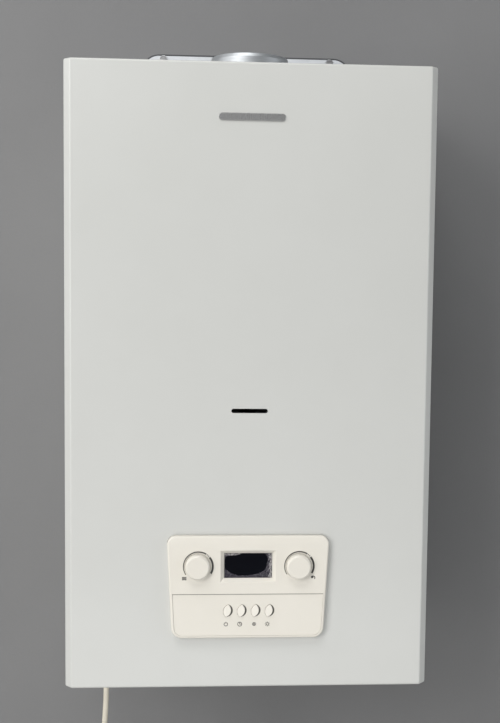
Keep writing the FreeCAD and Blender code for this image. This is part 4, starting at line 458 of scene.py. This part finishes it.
def add_scale(work, x, z):
    """One knob's scale: a line that thickens clockwise, two dots and a bold end."""
    rising = band_points(x, z, SCALE_RADIUS, SCALE_RISE_ANGLES,
                         lambda share: SCALE_THIN + share * (SCALE_RISEN - SCALE_THIN))
    add_band(work, rising, FASCIA_Y)
    bold = band_points(x, z, SCALE_RADIUS, SCALE_BOLD_ANGLES, lambda share: SCALE_BOLD)
    add_band(work, bold, FASCIA_Y)
    reach = SCALE_RADIUS - SCALE_RISEN / 2
    for degrees in SCALE_DOT_ANGLES:
        angle = math.radians(degrees)
        dot_x, dot_z = x + reach * math.cos(angle), z + reach * math.sin(angle)
        add_mark(work, circle_points(dot_x, dot_z, SCALE_DOT / 2, SCALE_DOT_STEPS), FASCIA_Y)


def knob_scales(ink):
    """The printed scale round each knob."""
    for node in ("heating_knob", "hot_water_knob"):
        x, z = node_centre(node)
        mesh_piece(node + "_scale", lambda work: add_scale(work, x + SCALE_SHIFT, z), ink,
                   "boiler")


# Icons beside the knobs
RADIATOR_X, RADIATOR_UP = -75.8 * MM, 135.3 * MM
RADIATOR_COLUMNS = 4
RADIATOR_PITCH = 1.35 * MM
RADIATOR_COLUMN_HALVES = (0.45 * MM, 2.0 * MM)
RADIATOR_RAIL_UP = 1.2 * MM
RADIATOR_RAIL_HALVES = (2.6 * MM, 0.25 * MM)
TAP_X, TAP_UP = 77.2 * MM, 136.5 * MM
TAP_BODY_LEFT = 1.0 * MM
TAP_BODY_RADIUS = 1.5 * MM
TAP_BODY_STEPS = 20
TAP_SPOUT_RIGHT, TAP_SPOUT_DOWN = 0.2 * MM, 0.9 * MM
TAP_SPOUT_RADIUS = 2.6 * MM
TAP_SPOUT_ANGLES = (130, -40)
TAP_SPOUT_WIDTH = 1.0 * MM


def scale_icons(ink):
    """A radiator beside the heating knob and a water tap beside the hot water knob."""

    def radiator(work):
        z = BOTTOM_Z + RADIATOR_UP
        for column in range(RADIATOR_COLUMNS):
            x = RADIATOR_X + (column - (RADIATOR_COLUMNS - 1) / 2) * RADIATOR_PITCH
            add_mark(work, rectangle(x, z, *RADIATOR_COLUMN_HALVES), FASCIA_Y)
        for up in (-RADIATOR_RAIL_UP, RADIATOR_RAIL_UP):
            add_mark(work, rectangle(RADIATOR_X, z + up, *RADIATOR_RAIL_HALVES), FASCIA_Y - INK_THICKNESS)

    def tap(work):
        z = BOTTOM_Z + TAP_UP
        add_mark(work, circle_points(TAP_X - TAP_BODY_LEFT, z, TAP_BODY_RADIUS, TAP_BODY_STEPS), FASCIA_Y)
        spout = band_points(TAP_X + TAP_SPOUT_RIGHT, z - TAP_SPOUT_DOWN, TAP_SPOUT_RADIUS, TAP_SPOUT_ANGLES,
                            lambda share: TAP_SPOUT_WIDTH)
        add_band(work, spout, FASCIA_Y)

    mesh_piece("radiator_icon", radiator, ink, "boiler")
    mesh_piece("tap_icon", tap, ink, "boiler")


# Icons under the buttons, with strokes and rings in shares of the icons' radius
BUTTONS = ("standby_button", "timer_button", "mode_button", "season_button")
ICON_UP = 79.5 * MM
ICON_SHIFT = 1.5 * MM
ICON_RADIUS = 2.5 * MM
ICON_LINE = 0.75 * MM
WHOLE_ROUND = (0, 360)
STANDBY_ANGLES = (115, 425)
STANDBY_STROKE = (0.3, 1.2)
TIMER_RING = 1.12
TIMER_HANDS = ((math.pi / 2, 0.75), (0, 0.6))
MODE_ROWS = 4
MODE_PITCH = 1.15 * MM
MODE_INSET = 0.15 * MM
MODE_SHIFT = 0.6 * MM
SUN_RING = 0.75
SUN_RAYS = 8
SUN_STROKE = (0.9, 1.2)


def icon_ring(work, x, z, share, angles=WHOLE_ROUND):
    """A ring, or a part of one."""
    add_band(work, band_points(x, z, ICON_RADIUS * share, angles, lambda along: ICON_LINE), PANEL_Y)


def icon_stroke(work, x, z, angle, inner, outer):
    """A short stroke that points away from a centre."""
    along = Vector((math.cos(angle), math.sin(angle)))
    across = Vector((-along.y, along.x)) * (ICON_LINE / 2)
    start = Vector((x, z)) + along * (ICON_RADIUS * inner)
    end = Vector((x, z)) + along * (ICON_RADIUS * outer)
    corners = (start - across, end - across, end + across, start + across)
    add_mark(work, [tuple(corner) for corner in corners], PANEL_Y)


def standby_icon(work, x, z):
    """An open ring with a stroke in its gap."""
    icon_ring(work, x, z, 1, STANDBY_ANGLES)
    icon_stroke(work, x, z, math.pi / 2, *STANDBY_STROKE)


def timer_icon(work, x, z):
    """A clock's ring and hands."""
    icon_ring(work, x, z, TIMER_RING)
    for angle, reach in TIMER_HANDS:
        icon_stroke(work, x, z, angle, 0, reach)


def mode_icon(work, x, z):
    """Level bars that make a round."""
    for row in range(MODE_ROWS):
        up = (row - (MODE_ROWS - 1) / 2) * MODE_PITCH
        half = math.sqrt(ICON_RADIUS ** 2 - up ** 2) - MODE_INSET
        add_mark(work, rectangle(x + MODE_SHIFT, z + up, half, ICON_LINE / 2), PANEL_Y)


def season_icon(work, x, z):
    """A sun."""
    icon_ring(work, x, z, SUN_RING)
    for ray in range(SUN_RAYS):
        icon_stroke(work, x, z, 2 * math.pi * ray / SUN_RAYS, *SUN_STROKE)


def button_icons(ink):
    """An icon under each button."""
    z = BOTTOM_Z + ICON_UP
    for node, icon in zip(BUTTONS, (standby_icon, timer_icon, mode_icon, season_icon)):
        x = node_centre(node)[0] - ICON_SHIFT
        mesh_piece(node.replace("button", "icon"), lambda work: icon(work, x, z), ink,
                   "boiler")


# Painted shadows on the lower panel: a line under the fascia's ledge and a crescent beside each button
SEAM_SHADOW_WIDTH = 0.8 * MM
BUTTON_HALF_LENGTH = 7.4 * MM
BUTTON_LEAN = 1.7 * MM
BUTTON_BULGE = 4.7 * MM
BUTTON_BOX_SHIFT = 0.25 * MM
# the painted shadow beside each button: its widest reach and its play from the button
BUTTON_SHADOW_WIDTH = 1.9 * MM
BUTTON_SHADOW_PLAY = 0.15 * MM


def panel_seam_shadow(shade):
    """A painted shadow line where the fascia overhangs the top of the sunk lower panel."""
    x, half = (PANEL_LOW.x + PANEL_HIGH.x) / 2, (PANEL_HIGH.x - PANEL_LOW.x) / 2
    outline = rectangle(x, PANEL_HIGH.z - SEAM_SHADOW_WIDTH / 2, half, SEAM_SHADOW_WIDTH / 2)
    mesh_piece("panel_seam_shadow", lambda work: add_mark(work, outline, PANEL_Y), shade, "boiler")


def button_edge(x, z, play, gap):
    """The right edge of a button at x and z, moved out by some play and bulged by the width of a painted
    shadow.
    """
    top = (x + BUTTON_LEAN + play, z + BUTTON_HALF_LENGTH)
    bottom = (x - BUTTON_LEAN + play, z - BUTTON_HALF_LENGTH)
    return arc_through(top, (x + BUTTON_BULGE + play + gap, z), bottom)


def button_shadows(shade):
    """A painted shadow along the raised right edge of each button, as a dark crescent on the panel."""

    def build(work):
        for node in BUTTONS:
            x, z = node_centre(node)
            x -= BUTTON_BOX_SHIFT
            outer = button_edge(x, z, 2 * BUTTON_SHADOW_PLAY, BUTTON_SHADOW_WIDTH)
            inner = button_edge(x, z, BUTTON_SHADOW_PLAY, 0)
            add_band(work, outer + inner[::-1], PANEL_Y)

    mesh_piece("button_shadows", build, shade, "boiler")


# Film on the display, with places in shares of the display's width and height
FILM_LIFT = 0.15 * MM
FILM_THICKNESS = 0.08 * MM
FILM_INSET = 2.3 * MM
FILM_COLUMNS, FILM_ROWS = 84, 46
OVAL_CENTRE = (0.45, 0.65)
OVAL_REACH = (0.46, 0.56)
OVAL_POWER = 2.3
RIPPLE_HEIGHT = 0.04
RIPPLE_RATES = (9, 7)
RIPPLE_PHASE = 2
WAVE_HEIGHT = 0.6
WAVE_CENTRE = (0.24, 1.0)
WAVE_REACH = (0.16, 0.12)
WRINKLE_HEIGHT = 1.2 * MM
WRINKLE_BASE = 1.1
WRINKLE_RATES = (67, 19)
CROSS_WRINKLE_RATES = (23, -41)
LOOSENESS_MOST = 0.3


def film_looseness(across, up):
    """How far a place of the film lies outside the oval that sticks."""
    right = (across - OVAL_CENTRE[0]) / OVAL_REACH[0]
    high = (up - OVAL_CENTRE[1]) / OVAL_REACH[1]
    oval = (abs(right) ** OVAL_POWER + abs(high) ** OVAL_POWER) ** (1 / OVAL_POWER)
    ripple = math.sin(RIPPLE_RATES[0] * across + RIPPLE_PHASE) * math.cos(RIPPLE_RATES[1] * up)
    wave_right = (across - WAVE_CENTRE[0]) / WAVE_REACH[0]
    wave_up = (up - WAVE_CENTRE[1]) / WAVE_REACH[1]
    wave = math.exp(-wave_right ** 2 - wave_up ** 2)
    return oval - 1 + RIPPLE_HEIGHT * ripple + WAVE_HEIGHT * wave


def display_film(material):
    """The clear protective film on the display, loose and wrinkled round the oval where it sticks."""
    half = (WINDOW_HIGH.x - WINDOW_LOW.x) / 2 - FILM_INSET
    low, high = WINDOW_LOW.z + FILM_INSET, WINDOW_HIGH.z - FILM_INSET

    def place(across, up):
        loose = min(max(0.0, film_looseness(across, up)), LOOSENESS_MOST)
        wrinkle = math.sin(WRINKLE_RATES[0] * across + WRINKLE_RATES[1] * up)
        wrinkle *= math.cos(CROSS_WRINKLE_RATES[0] * across + CROSS_WRINKLE_RATES[1] * up)
        lift = FILM_LIFT + loose * (WRINKLE_BASE + wrinkle) * WRINKLE_HEIGHT
        return (-half + 2 * half * across, WINDOW_Y - lift, low + (high - low) * up)

    def build(work):
        made = {}
        for row in range(FILM_ROWS):
            for column in range(FILM_COLUMNS):
                if film_looseness((column + 0.5) / FILM_COLUMNS, (row + 0.5) / FILM_ROWS) < 0:
                    continue
                corners = ((column, row), (column + 1, row), (column + 1, row + 1), (column, row + 1))
                for corner in corners:
                    if corner not in made:
                        across, up = corner[0] / FILM_COLUMNS, corner[1] / FILM_ROWS
                        made[corner] = work.verts.new(place(across, up))
                work.faces.new([made[corner] for corner in corners])

    piece = mesh_piece("display_film", build, material, "boiler")
    piece.data.shade_smooth()
    sheet = piece.modifiers.new("sheet", "SOLIDIFY")
    sheet.thickness = FILM_THICKNESS
    sheet.offset = 0


# Plate on the front
BADGE_WIDTH, BADGE_HEIGHT = 78.0 * MM, 9.0 * MM
BADGE_UP = 677.0 * MM
BADGE_THICKNESS = 1.4 * MM
BADGE_BEVEL = 0.6 * MM
BADGE_END_STEPS = 16


def front_badge(material):
    """A plain slim plate with round ends, high on the front."""
    z = BOTTOM_Z + BADGE_UP

    def outline(inset):
        radius = BADGE_HEIGHT / 2 - inset
        reach = BADGE_WIDTH / 2 - BADGE_HEIGHT / 2
        angles = [math.pi * step / BADGE_END_STEPS for step in range(BADGE_END_STEPS + 1)]
        right = [(reach + radius * math.sin(angle), z + radius * math.cos(angle)) for angle in angles]
        left = [(-reach - radius * math.sin(angle), z - radius * math.cos(angle)) for angle in angles]
        return right + left

    def build(work):
        levels = ((0, 0), (0, BADGE_THICKNESS - BADGE_BEVEL), (BADGE_BEVEL, BADGE_THICKNESS))
        rings = []
        for inset, lift in levels:
            rings.append([work.verts.new((x, FACE_Y - lift, up)) for x, up in outline(inset)])
        work.faces.new(rings[0])
        work.faces.new(rings[-1])
        for lower, upper in zip(rings, rings[1:]):
            for index in range(len(lower)):
                after = (index + 1) % len(lower)
                work.faces.new((lower[index], lower[after], upper[after], upper[index]))

    mesh_piece("front_badge", build, material, "cover")


# Wall bracket's screws and a painted shadow along its top edge, and the collar's screws; a profile is
# shares of a radius and a height
WASHER_RADIUS, WASHER_HEIGHT = 5.8 * MM, 0.8 * MM
WASHER_PROFILE = ((1, 0), (1, 1))
SCREW_HEAD_RADIUS, SCREW_HEAD_HEIGHT = 4.8 * MM, 3.0 * MM
SCREW_HEAD_PROFILE = ((1, 0), (1, 0.7), (0.85, 1))
SCREW_HEAD_SIDES = 6
BRACKET_CORNER = 25.0 * MM
BRACKET_CORNER_STEPS = 12
BRACKET_SHADOW_WIDTH = 2.1 * MM
COLLAR_FLANGE = 2.0 * MM
COLLAR_SCREWS = 4
COLLAR_SCREW_INSET = 9.0 * MM
COLLAR_SCREW_RADIUS, COLLAR_SCREW_HEIGHT = 3.6 * MM, 2.2 * MM
COLLAR_SCREW_PROFILE = ((1, 0), (1, 0.5), (0.6, 1))


def bracket_edge_shadow(material):
    """A painted shadow: a dark band along the bracket's top and its two round corners."""
    reach, up = BRACKET_HIGH.x - BRACKET_CORNER, BRACKET_HIGH.z - BRACKET_CORNER
    turns = [math.pi / 2 * step / BRACKET_CORNER_STEPS for step in range(BRACKET_CORNER_STEPS + 1)]

    def line(inset):
        radius = BRACKET_CORNER - inset
        left = [(-reach - radius * math.cos(turn), up + radius * math.sin(turn)) for turn in turns]
        right = [(reach + radius * math.sin(turn), up + radius * math.cos(turn)) for turn in turns]
        return left + right

    def build(work):
        add_band(work, line(0) + line(BRACKET_SHADOW_WIDTH)[::-1], BRACKET_FACE_Y)

    mesh_piece("bracket_edge_shadow", build, material, "boiler")


def wall_screws(material, washer_material):
    """Two hexagon-head screws with washers, through the bracket's holes."""
    mount = next(found for found in frame["record"]["mounts"] if found["name"] == "wall_screws")
    half = mount["dims"]["spacing_x_mm"] * MM / 2

    def washers(work):
        for x in (-half, half):
            add_turned(work, (x, BRACKET_FACE_Y, 0), OUTWARD, WASHER_RADIUS, WASHER_HEIGHT, WASHER_PROFILE)

    def heads(work):
        for x in (-half, half):
            add_turned(work, (x, BRACKET_FACE_Y - WASHER_HEIGHT, 0), OUTWARD, SCREW_HEAD_RADIUS,
                       SCREW_HEAD_HEIGHT, SCREW_HEAD_PROFILE, SCREW_HEAD_SIDES)

    mesh_piece("wall_screw_washers", washers, washer_material, "boiler")
    mesh_piece("wall_screw_heads", heads, material, "boiler")


def collar_screws(material):
    """Pan-head screws through the flue collar's flange."""
    centre_x, centre_y = (COLLAR_LOW.x + COLLAR_HIGH.x) / 2, (COLLAR_LOW.y + COLLAR_HIGH.y) / 2
    reach = (COLLAR_HIGH.x - COLLAR_LOW.x) / 2 - COLLAR_SCREW_INSET
    z = COLLAR_LOW.z + COLLAR_FLANGE

    def build(work):
        for index in range(COLLAR_SCREWS):
            angle = 2 * math.pi * (index + 0.5) / COLLAR_SCREWS
            centre = (centre_x + reach * math.cos(angle), centre_y + reach * math.sin(angle), z)
            add_turned(work, centre, UPWARD, COLLAR_SCREW_RADIUS, COLLAR_SCREW_HEIGHT, COLLAR_SCREW_PROFILE)

    mesh_piece("collar_screw_heads", build, material, "boiler")


# Mains lead: the route's points are right, out and up, in millimetres from the casing's bottom edge
CORD_DIAMETER = 7.0 * MM
DROP_POINTS = ((-180.2, 200.0, -32.0), (-180.2, 200.0, -53.0), (-181.5, 200.0, -79.0),
               (-183.4, 200.0, -106.0))
TAIL_POINTS = ((-187.6, 191.6, -208.0), (-186.6, 192.2, -229.0))
COIL_ENTRY = (-185.0, 200.0, -160.0)
COIL_INNER_RADIUS = 30.0
COIL_PITCH = 7.8
COIL_TURNS_PER_LAYER = 2.5
COIL_POINTS_PER_TURN = 24
HEADING_STEP = 0.001
CORD_LEAD_IN = 7.0
CORD_END_RUN = 21.0


def route_place(right, out, up):
    """A point of the route, in metres."""
    return Vector((right * MM, -out * MM, BOTTOM_Z + up * MM))


def coil_place(angle):
    """A point of the coil: in along one layer, over in a half turn and out along the next."""
    rate = COIL_PITCH / (2 * math.pi)
    half_way = COIL_TURNS_PER_LAYER * 2 * math.pi
    away = abs(angle - half_way)
    if away < math.pi / 2:
        radius = COIL_INNER_RADIUS + rate * away * away / math.pi
        climb = (1 + math.sin(angle - half_way)) / 2
    else:
        radius = COIL_INNER_RADIUS + rate * (away - math.pi / 4)
        climb = 0 if angle < half_way else 1
    outer = COIL_INNER_RADIUS + rate * (half_way - math.pi / 4)
    right, out, up = COIL_ENTRY
    return route_place(right + outer - radius * math.cos(angle), out - climb * COIL_PITCH,
                       up - radius * math.sin(angle))


def coil_heading(angle):
    """The direction in which the coil runs."""
    return (coil_place(angle + HEADING_STEP) - coil_place(angle - HEADING_STEP)).normalized()


def mains_lead(sheath):
    """The lead from the gland down to its coil and plug, as one smooth curve."""
    total = 2 * COIL_TURNS_PER_LAYER * 2 * math.pi
    count = int(2 * COIL_TURNS_PER_LAYER * COIL_POINTS_PER_TURN)
    start, end = coil_place(0), coil_place(total)
    before, after = coil_heading(0), coil_heading(total)
    route = [route_place(*place) for place in DROP_POINTS]
    route += [start - before * (CORD_LEAD_IN + CORD_END_RUN) * MM, start - before * CORD_LEAD_IN * MM]
    route += [coil_place(total * index / count) for index in range(count + 1)]
    route += [end + after * CORD_LEAD_IN * MM, end + after * (CORD_LEAD_IN + CORD_END_RUN) * MM]
    route += [route_place(*place) for place in TAIL_POINTS]
    curve = bpy.data.curves.new("mains_lead", "CURVE")
    curve.dimensions = "3D"
    curve.bevel_depth = CORD_DIAMETER / 2
    curve.bevel_resolution = 4
    curve.use_fill_caps = True
    spline = curve.splines.new("NURBS")
    spline.points.add(len(route) - 1)
    for point, place in zip(spline.points, route):
        point.co = (*place, 1)
    spline.order_u = 3
    spline.use_endpoint_u = True
    spline.resolution_u = 6
    curve.materials.append(sheath)
    lead = bpy.data.objects.new("mains_lead", curve)
    bpy.context.scene.collection.objects.link(lead)
    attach(lead, "boiler")
    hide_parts("cord_drop", "cord_coil", "cord_tail")


# Stage: the wall is a grid of cells, counted as row and column from its lower left
WALL_GAP = 0.5 * MM
WALL_SIZE = 6.0
WALL_OPENINGS = ((1, 1), (1, 2), (1, 3), (2, 2))
CASING_OPENING_INSET = 3.0 * MM
BRACKET_OPENING_INSET = 8.0 * MM
FLOOR_Z = -1.30


def stage_plane(name, corners, faces, material):
    """A flat mesh that isn't part of the object."""
    mesh = bpy.data.meshes.new(name)
    mesh.from_pydata(corners, [], faces)
    mesh.materials.append(material)
    plane = bpy.data.objects.new(name, mesh)
    bpy.context.scene.collection.objects.link(plane)


def wall_faces(rows, columns):
    """The wall's cells without those behind the boiler, so that light reaches its back."""
    faces = []
    for row in range(rows - 1):
        for column in range(columns - 1):
            if (row, column) not in WALL_OPENINGS:
                first = row * columns + column
                faces.append((first, first + 1, first + columns + 1, first + columns))
    return faces


def open_from_behind(material):
    """A plane shown only on its front, so that the boiler's back and underside can be looked at."""
    tree = material.node_tree
    shader = tree.nodes["Principled BSDF"]
    output = tree.nodes["Material Output"]
    side = tree.nodes.new("ShaderNodeNewGeometry")
    gone = tree.nodes.new("ShaderNodeBsdfTransparent")
    mix = tree.nodes.new("ShaderNodeMixShader")
    tree.links.new(side.outputs["Backfacing"], mix.inputs["Fac"])
    tree.links.new(shader.outputs["BSDF"], mix.inputs[1])
    tree.links.new(gone.outputs["BSDF"], mix.inputs[2])
    tree.links.new(mix.outputs["Shader"], output.inputs["Surface"])


def make_stage(wall_paint, floor_paint):
    """A wall behind the boiler and a floor below it."""
    open_from_behind(wall_paint)
    open_from_behind(floor_paint)
    half = WALL_SIZE / 2
    casing, bracket = CASING_HIGH.x - CASING_OPENING_INSET, BRACKET_HIGH.x - BRACKET_OPENING_INSET
    across = (-half, -casing, -bracket, bracket, casing, half)
    up = (FLOOR_Z, CASING_LOW.z + CASING_OPENING_INSET, CASING_HIGH.z - CASING_OPENING_INSET,
          BRACKET_HIGH.z - BRACKET_OPENING_INSET, half)
    corners = [(x, WALL_GAP, z) for z in up for x in across]
    stage_plane("wall", corners, wall_faces(len(up), len(across)), wall_paint)
    corners = [(-half, -WALL_SIZE, FLOOR_Z), (half, -WALL_SIZE, FLOOR_Z), (half, half, FLOOR_Z),
               (-half, half, FLOOR_Z)]
    stage_plane("floor", corners, [(0, 1, 2, 3)], floor_paint)


# Lights: name, place, target, width and height, power, colour
WHITE, WARM, COOL = (1.0, 1.0, 0.99), (1.0, 0.98, 0.95), (0.86, 0.88, 0.90)
FRONT_MIDDLE = (0, FACE_Y, -0.43)
LIGHTS = (
    ("left_window", (-3.1, -3.1, -0.25), FRONT_MIDDLE, (1.3, 1.6), 51, WARM),
    ("left_high", (-2.0, -3.5, 1.2), FRONT_MIDDLE, (1.4, 1.4), 49, WHITE),
    ("overhead", (-0.5, -1.5, 1.7), FRONT_MIDDLE, (1.3, 0.9), 28, WHITE),
    ("right_fill", (2.6, -1.1, -0.3), FRONT_MIDDLE, (1.6, 1.6), 19, COOL),
    ("collar_side", (-1.9, -0.62, 0.55), (0, -0.165, -0.03), (0.6, 0.6), 5, WHITE),
    ("low_bounce", (0, -0.95, -1.00), (0, FACE_Y, -0.76), (0.9, 0.3), 1.0, WHITE),
    ("behind", (0.9, 2.4, 0.9), (0, 0, -0.43), (1.4, 1.4), 40, WHITE),
)
WORLD_STRENGTH = 0.18


def area_light(name, place, target, size, power, colour):
    """A soft lamp that looks at a target."""
    data = bpy.data.lights.new(name, "AREA")
    data.shape = "RECTANGLE"
    data.size, data.size_y = size
    data.energy = power
    data.color = colour
    lamp = bpy.data.objects.new(name, data)
    lamp.location = place
    lamp.visible_camera = False
    lamp.rotation_euler = (Vector(target) - Vector(place)).to_track_quat("-Z", "Y").to_euler()
    bpy.context.scene.collection.objects.link(lamp)


def make_lights():
    """The lamps, and a faint even light from all round."""
    for light in LIGHTS:
        area_light(*light)
    world = bpy.data.worlds.new("studio")
    world.use_nodes = True
    background = world.node_tree.nodes["Background"]
    background.inputs["Color"].default_value = (*COOL, 1)
    background.inputs["Strength"].default_value = WORLD_STRENGTH
    bpy.context.scene.world = world


# Camera: its turn is in degrees, and the photo's numbers are in pixels
CAMERA_PLACE = (-0.0369, -1.6114, -0.3050)
CAMERA_TURN = (85.515, -0.718, -3.663)
PHOTO_FOCAL_LENGTH = 1100
PHOTO_LONG_SIDE = 723
PHOTO_SHORT_SIDE = 500
PHOTO_AXIS = 290


def make_camera():
    """The camera at the photo's viewing angle."""
    data = bpy.data.cameras.new("camera")
    data.lens = PHOTO_FOCAL_LENGTH * data.sensor_width / PHOTO_LONG_SIDE
    data.shift_x = (PHOTO_SHORT_SIDE / 2 - PHOTO_AXIS) / PHOTO_LONG_SIDE
    camera = bpy.data.objects.new("camera", data)
    camera.location = CAMERA_PLACE
    camera.rotation_euler = [math.radians(angle) for angle in CAMERA_TURN]
    bpy.context.scene.collection.objects.link(camera)
    bpy.context.scene.camera = camera


def make_scene():
    """The camera and the lead first, then the other pieces, the stage and the lights."""
    materials = make_materials()
    dress_nodes(materials)
    make_camera()
    mains_lead(materials["cord_sheath"])
    knob_scales(materials["ink_grey"])
    button_icons(materials["ink_grey"])
    scale_icons(materials["ink_grey"])
    # painted shadows on the lower panel: the line under the fascia's ledge and the crescents beside the
    # buttons
    panel_seam_shadow(materials["seam_shade"])
    button_shadows(materials["gap_shade"])
    display_film(materials["film"])
    front_badge(materials["badge_satin"])
    # painted shadow along the bracket's top edge, in the dark box grey
    bracket_edge_shadow(materials["box_grey"])
    wall_screws(materials["bar_steel"], materials["zinc_plain"])
    collar_screws(materials["zinc_plain"])
    make_stage(materials["wall_paint"], materials["floor_paint"])
    make_lights()
    bpy.context.scene.view_settings.view_transform = "Standard"


make_scene()
bpy.context.view_layer.update()
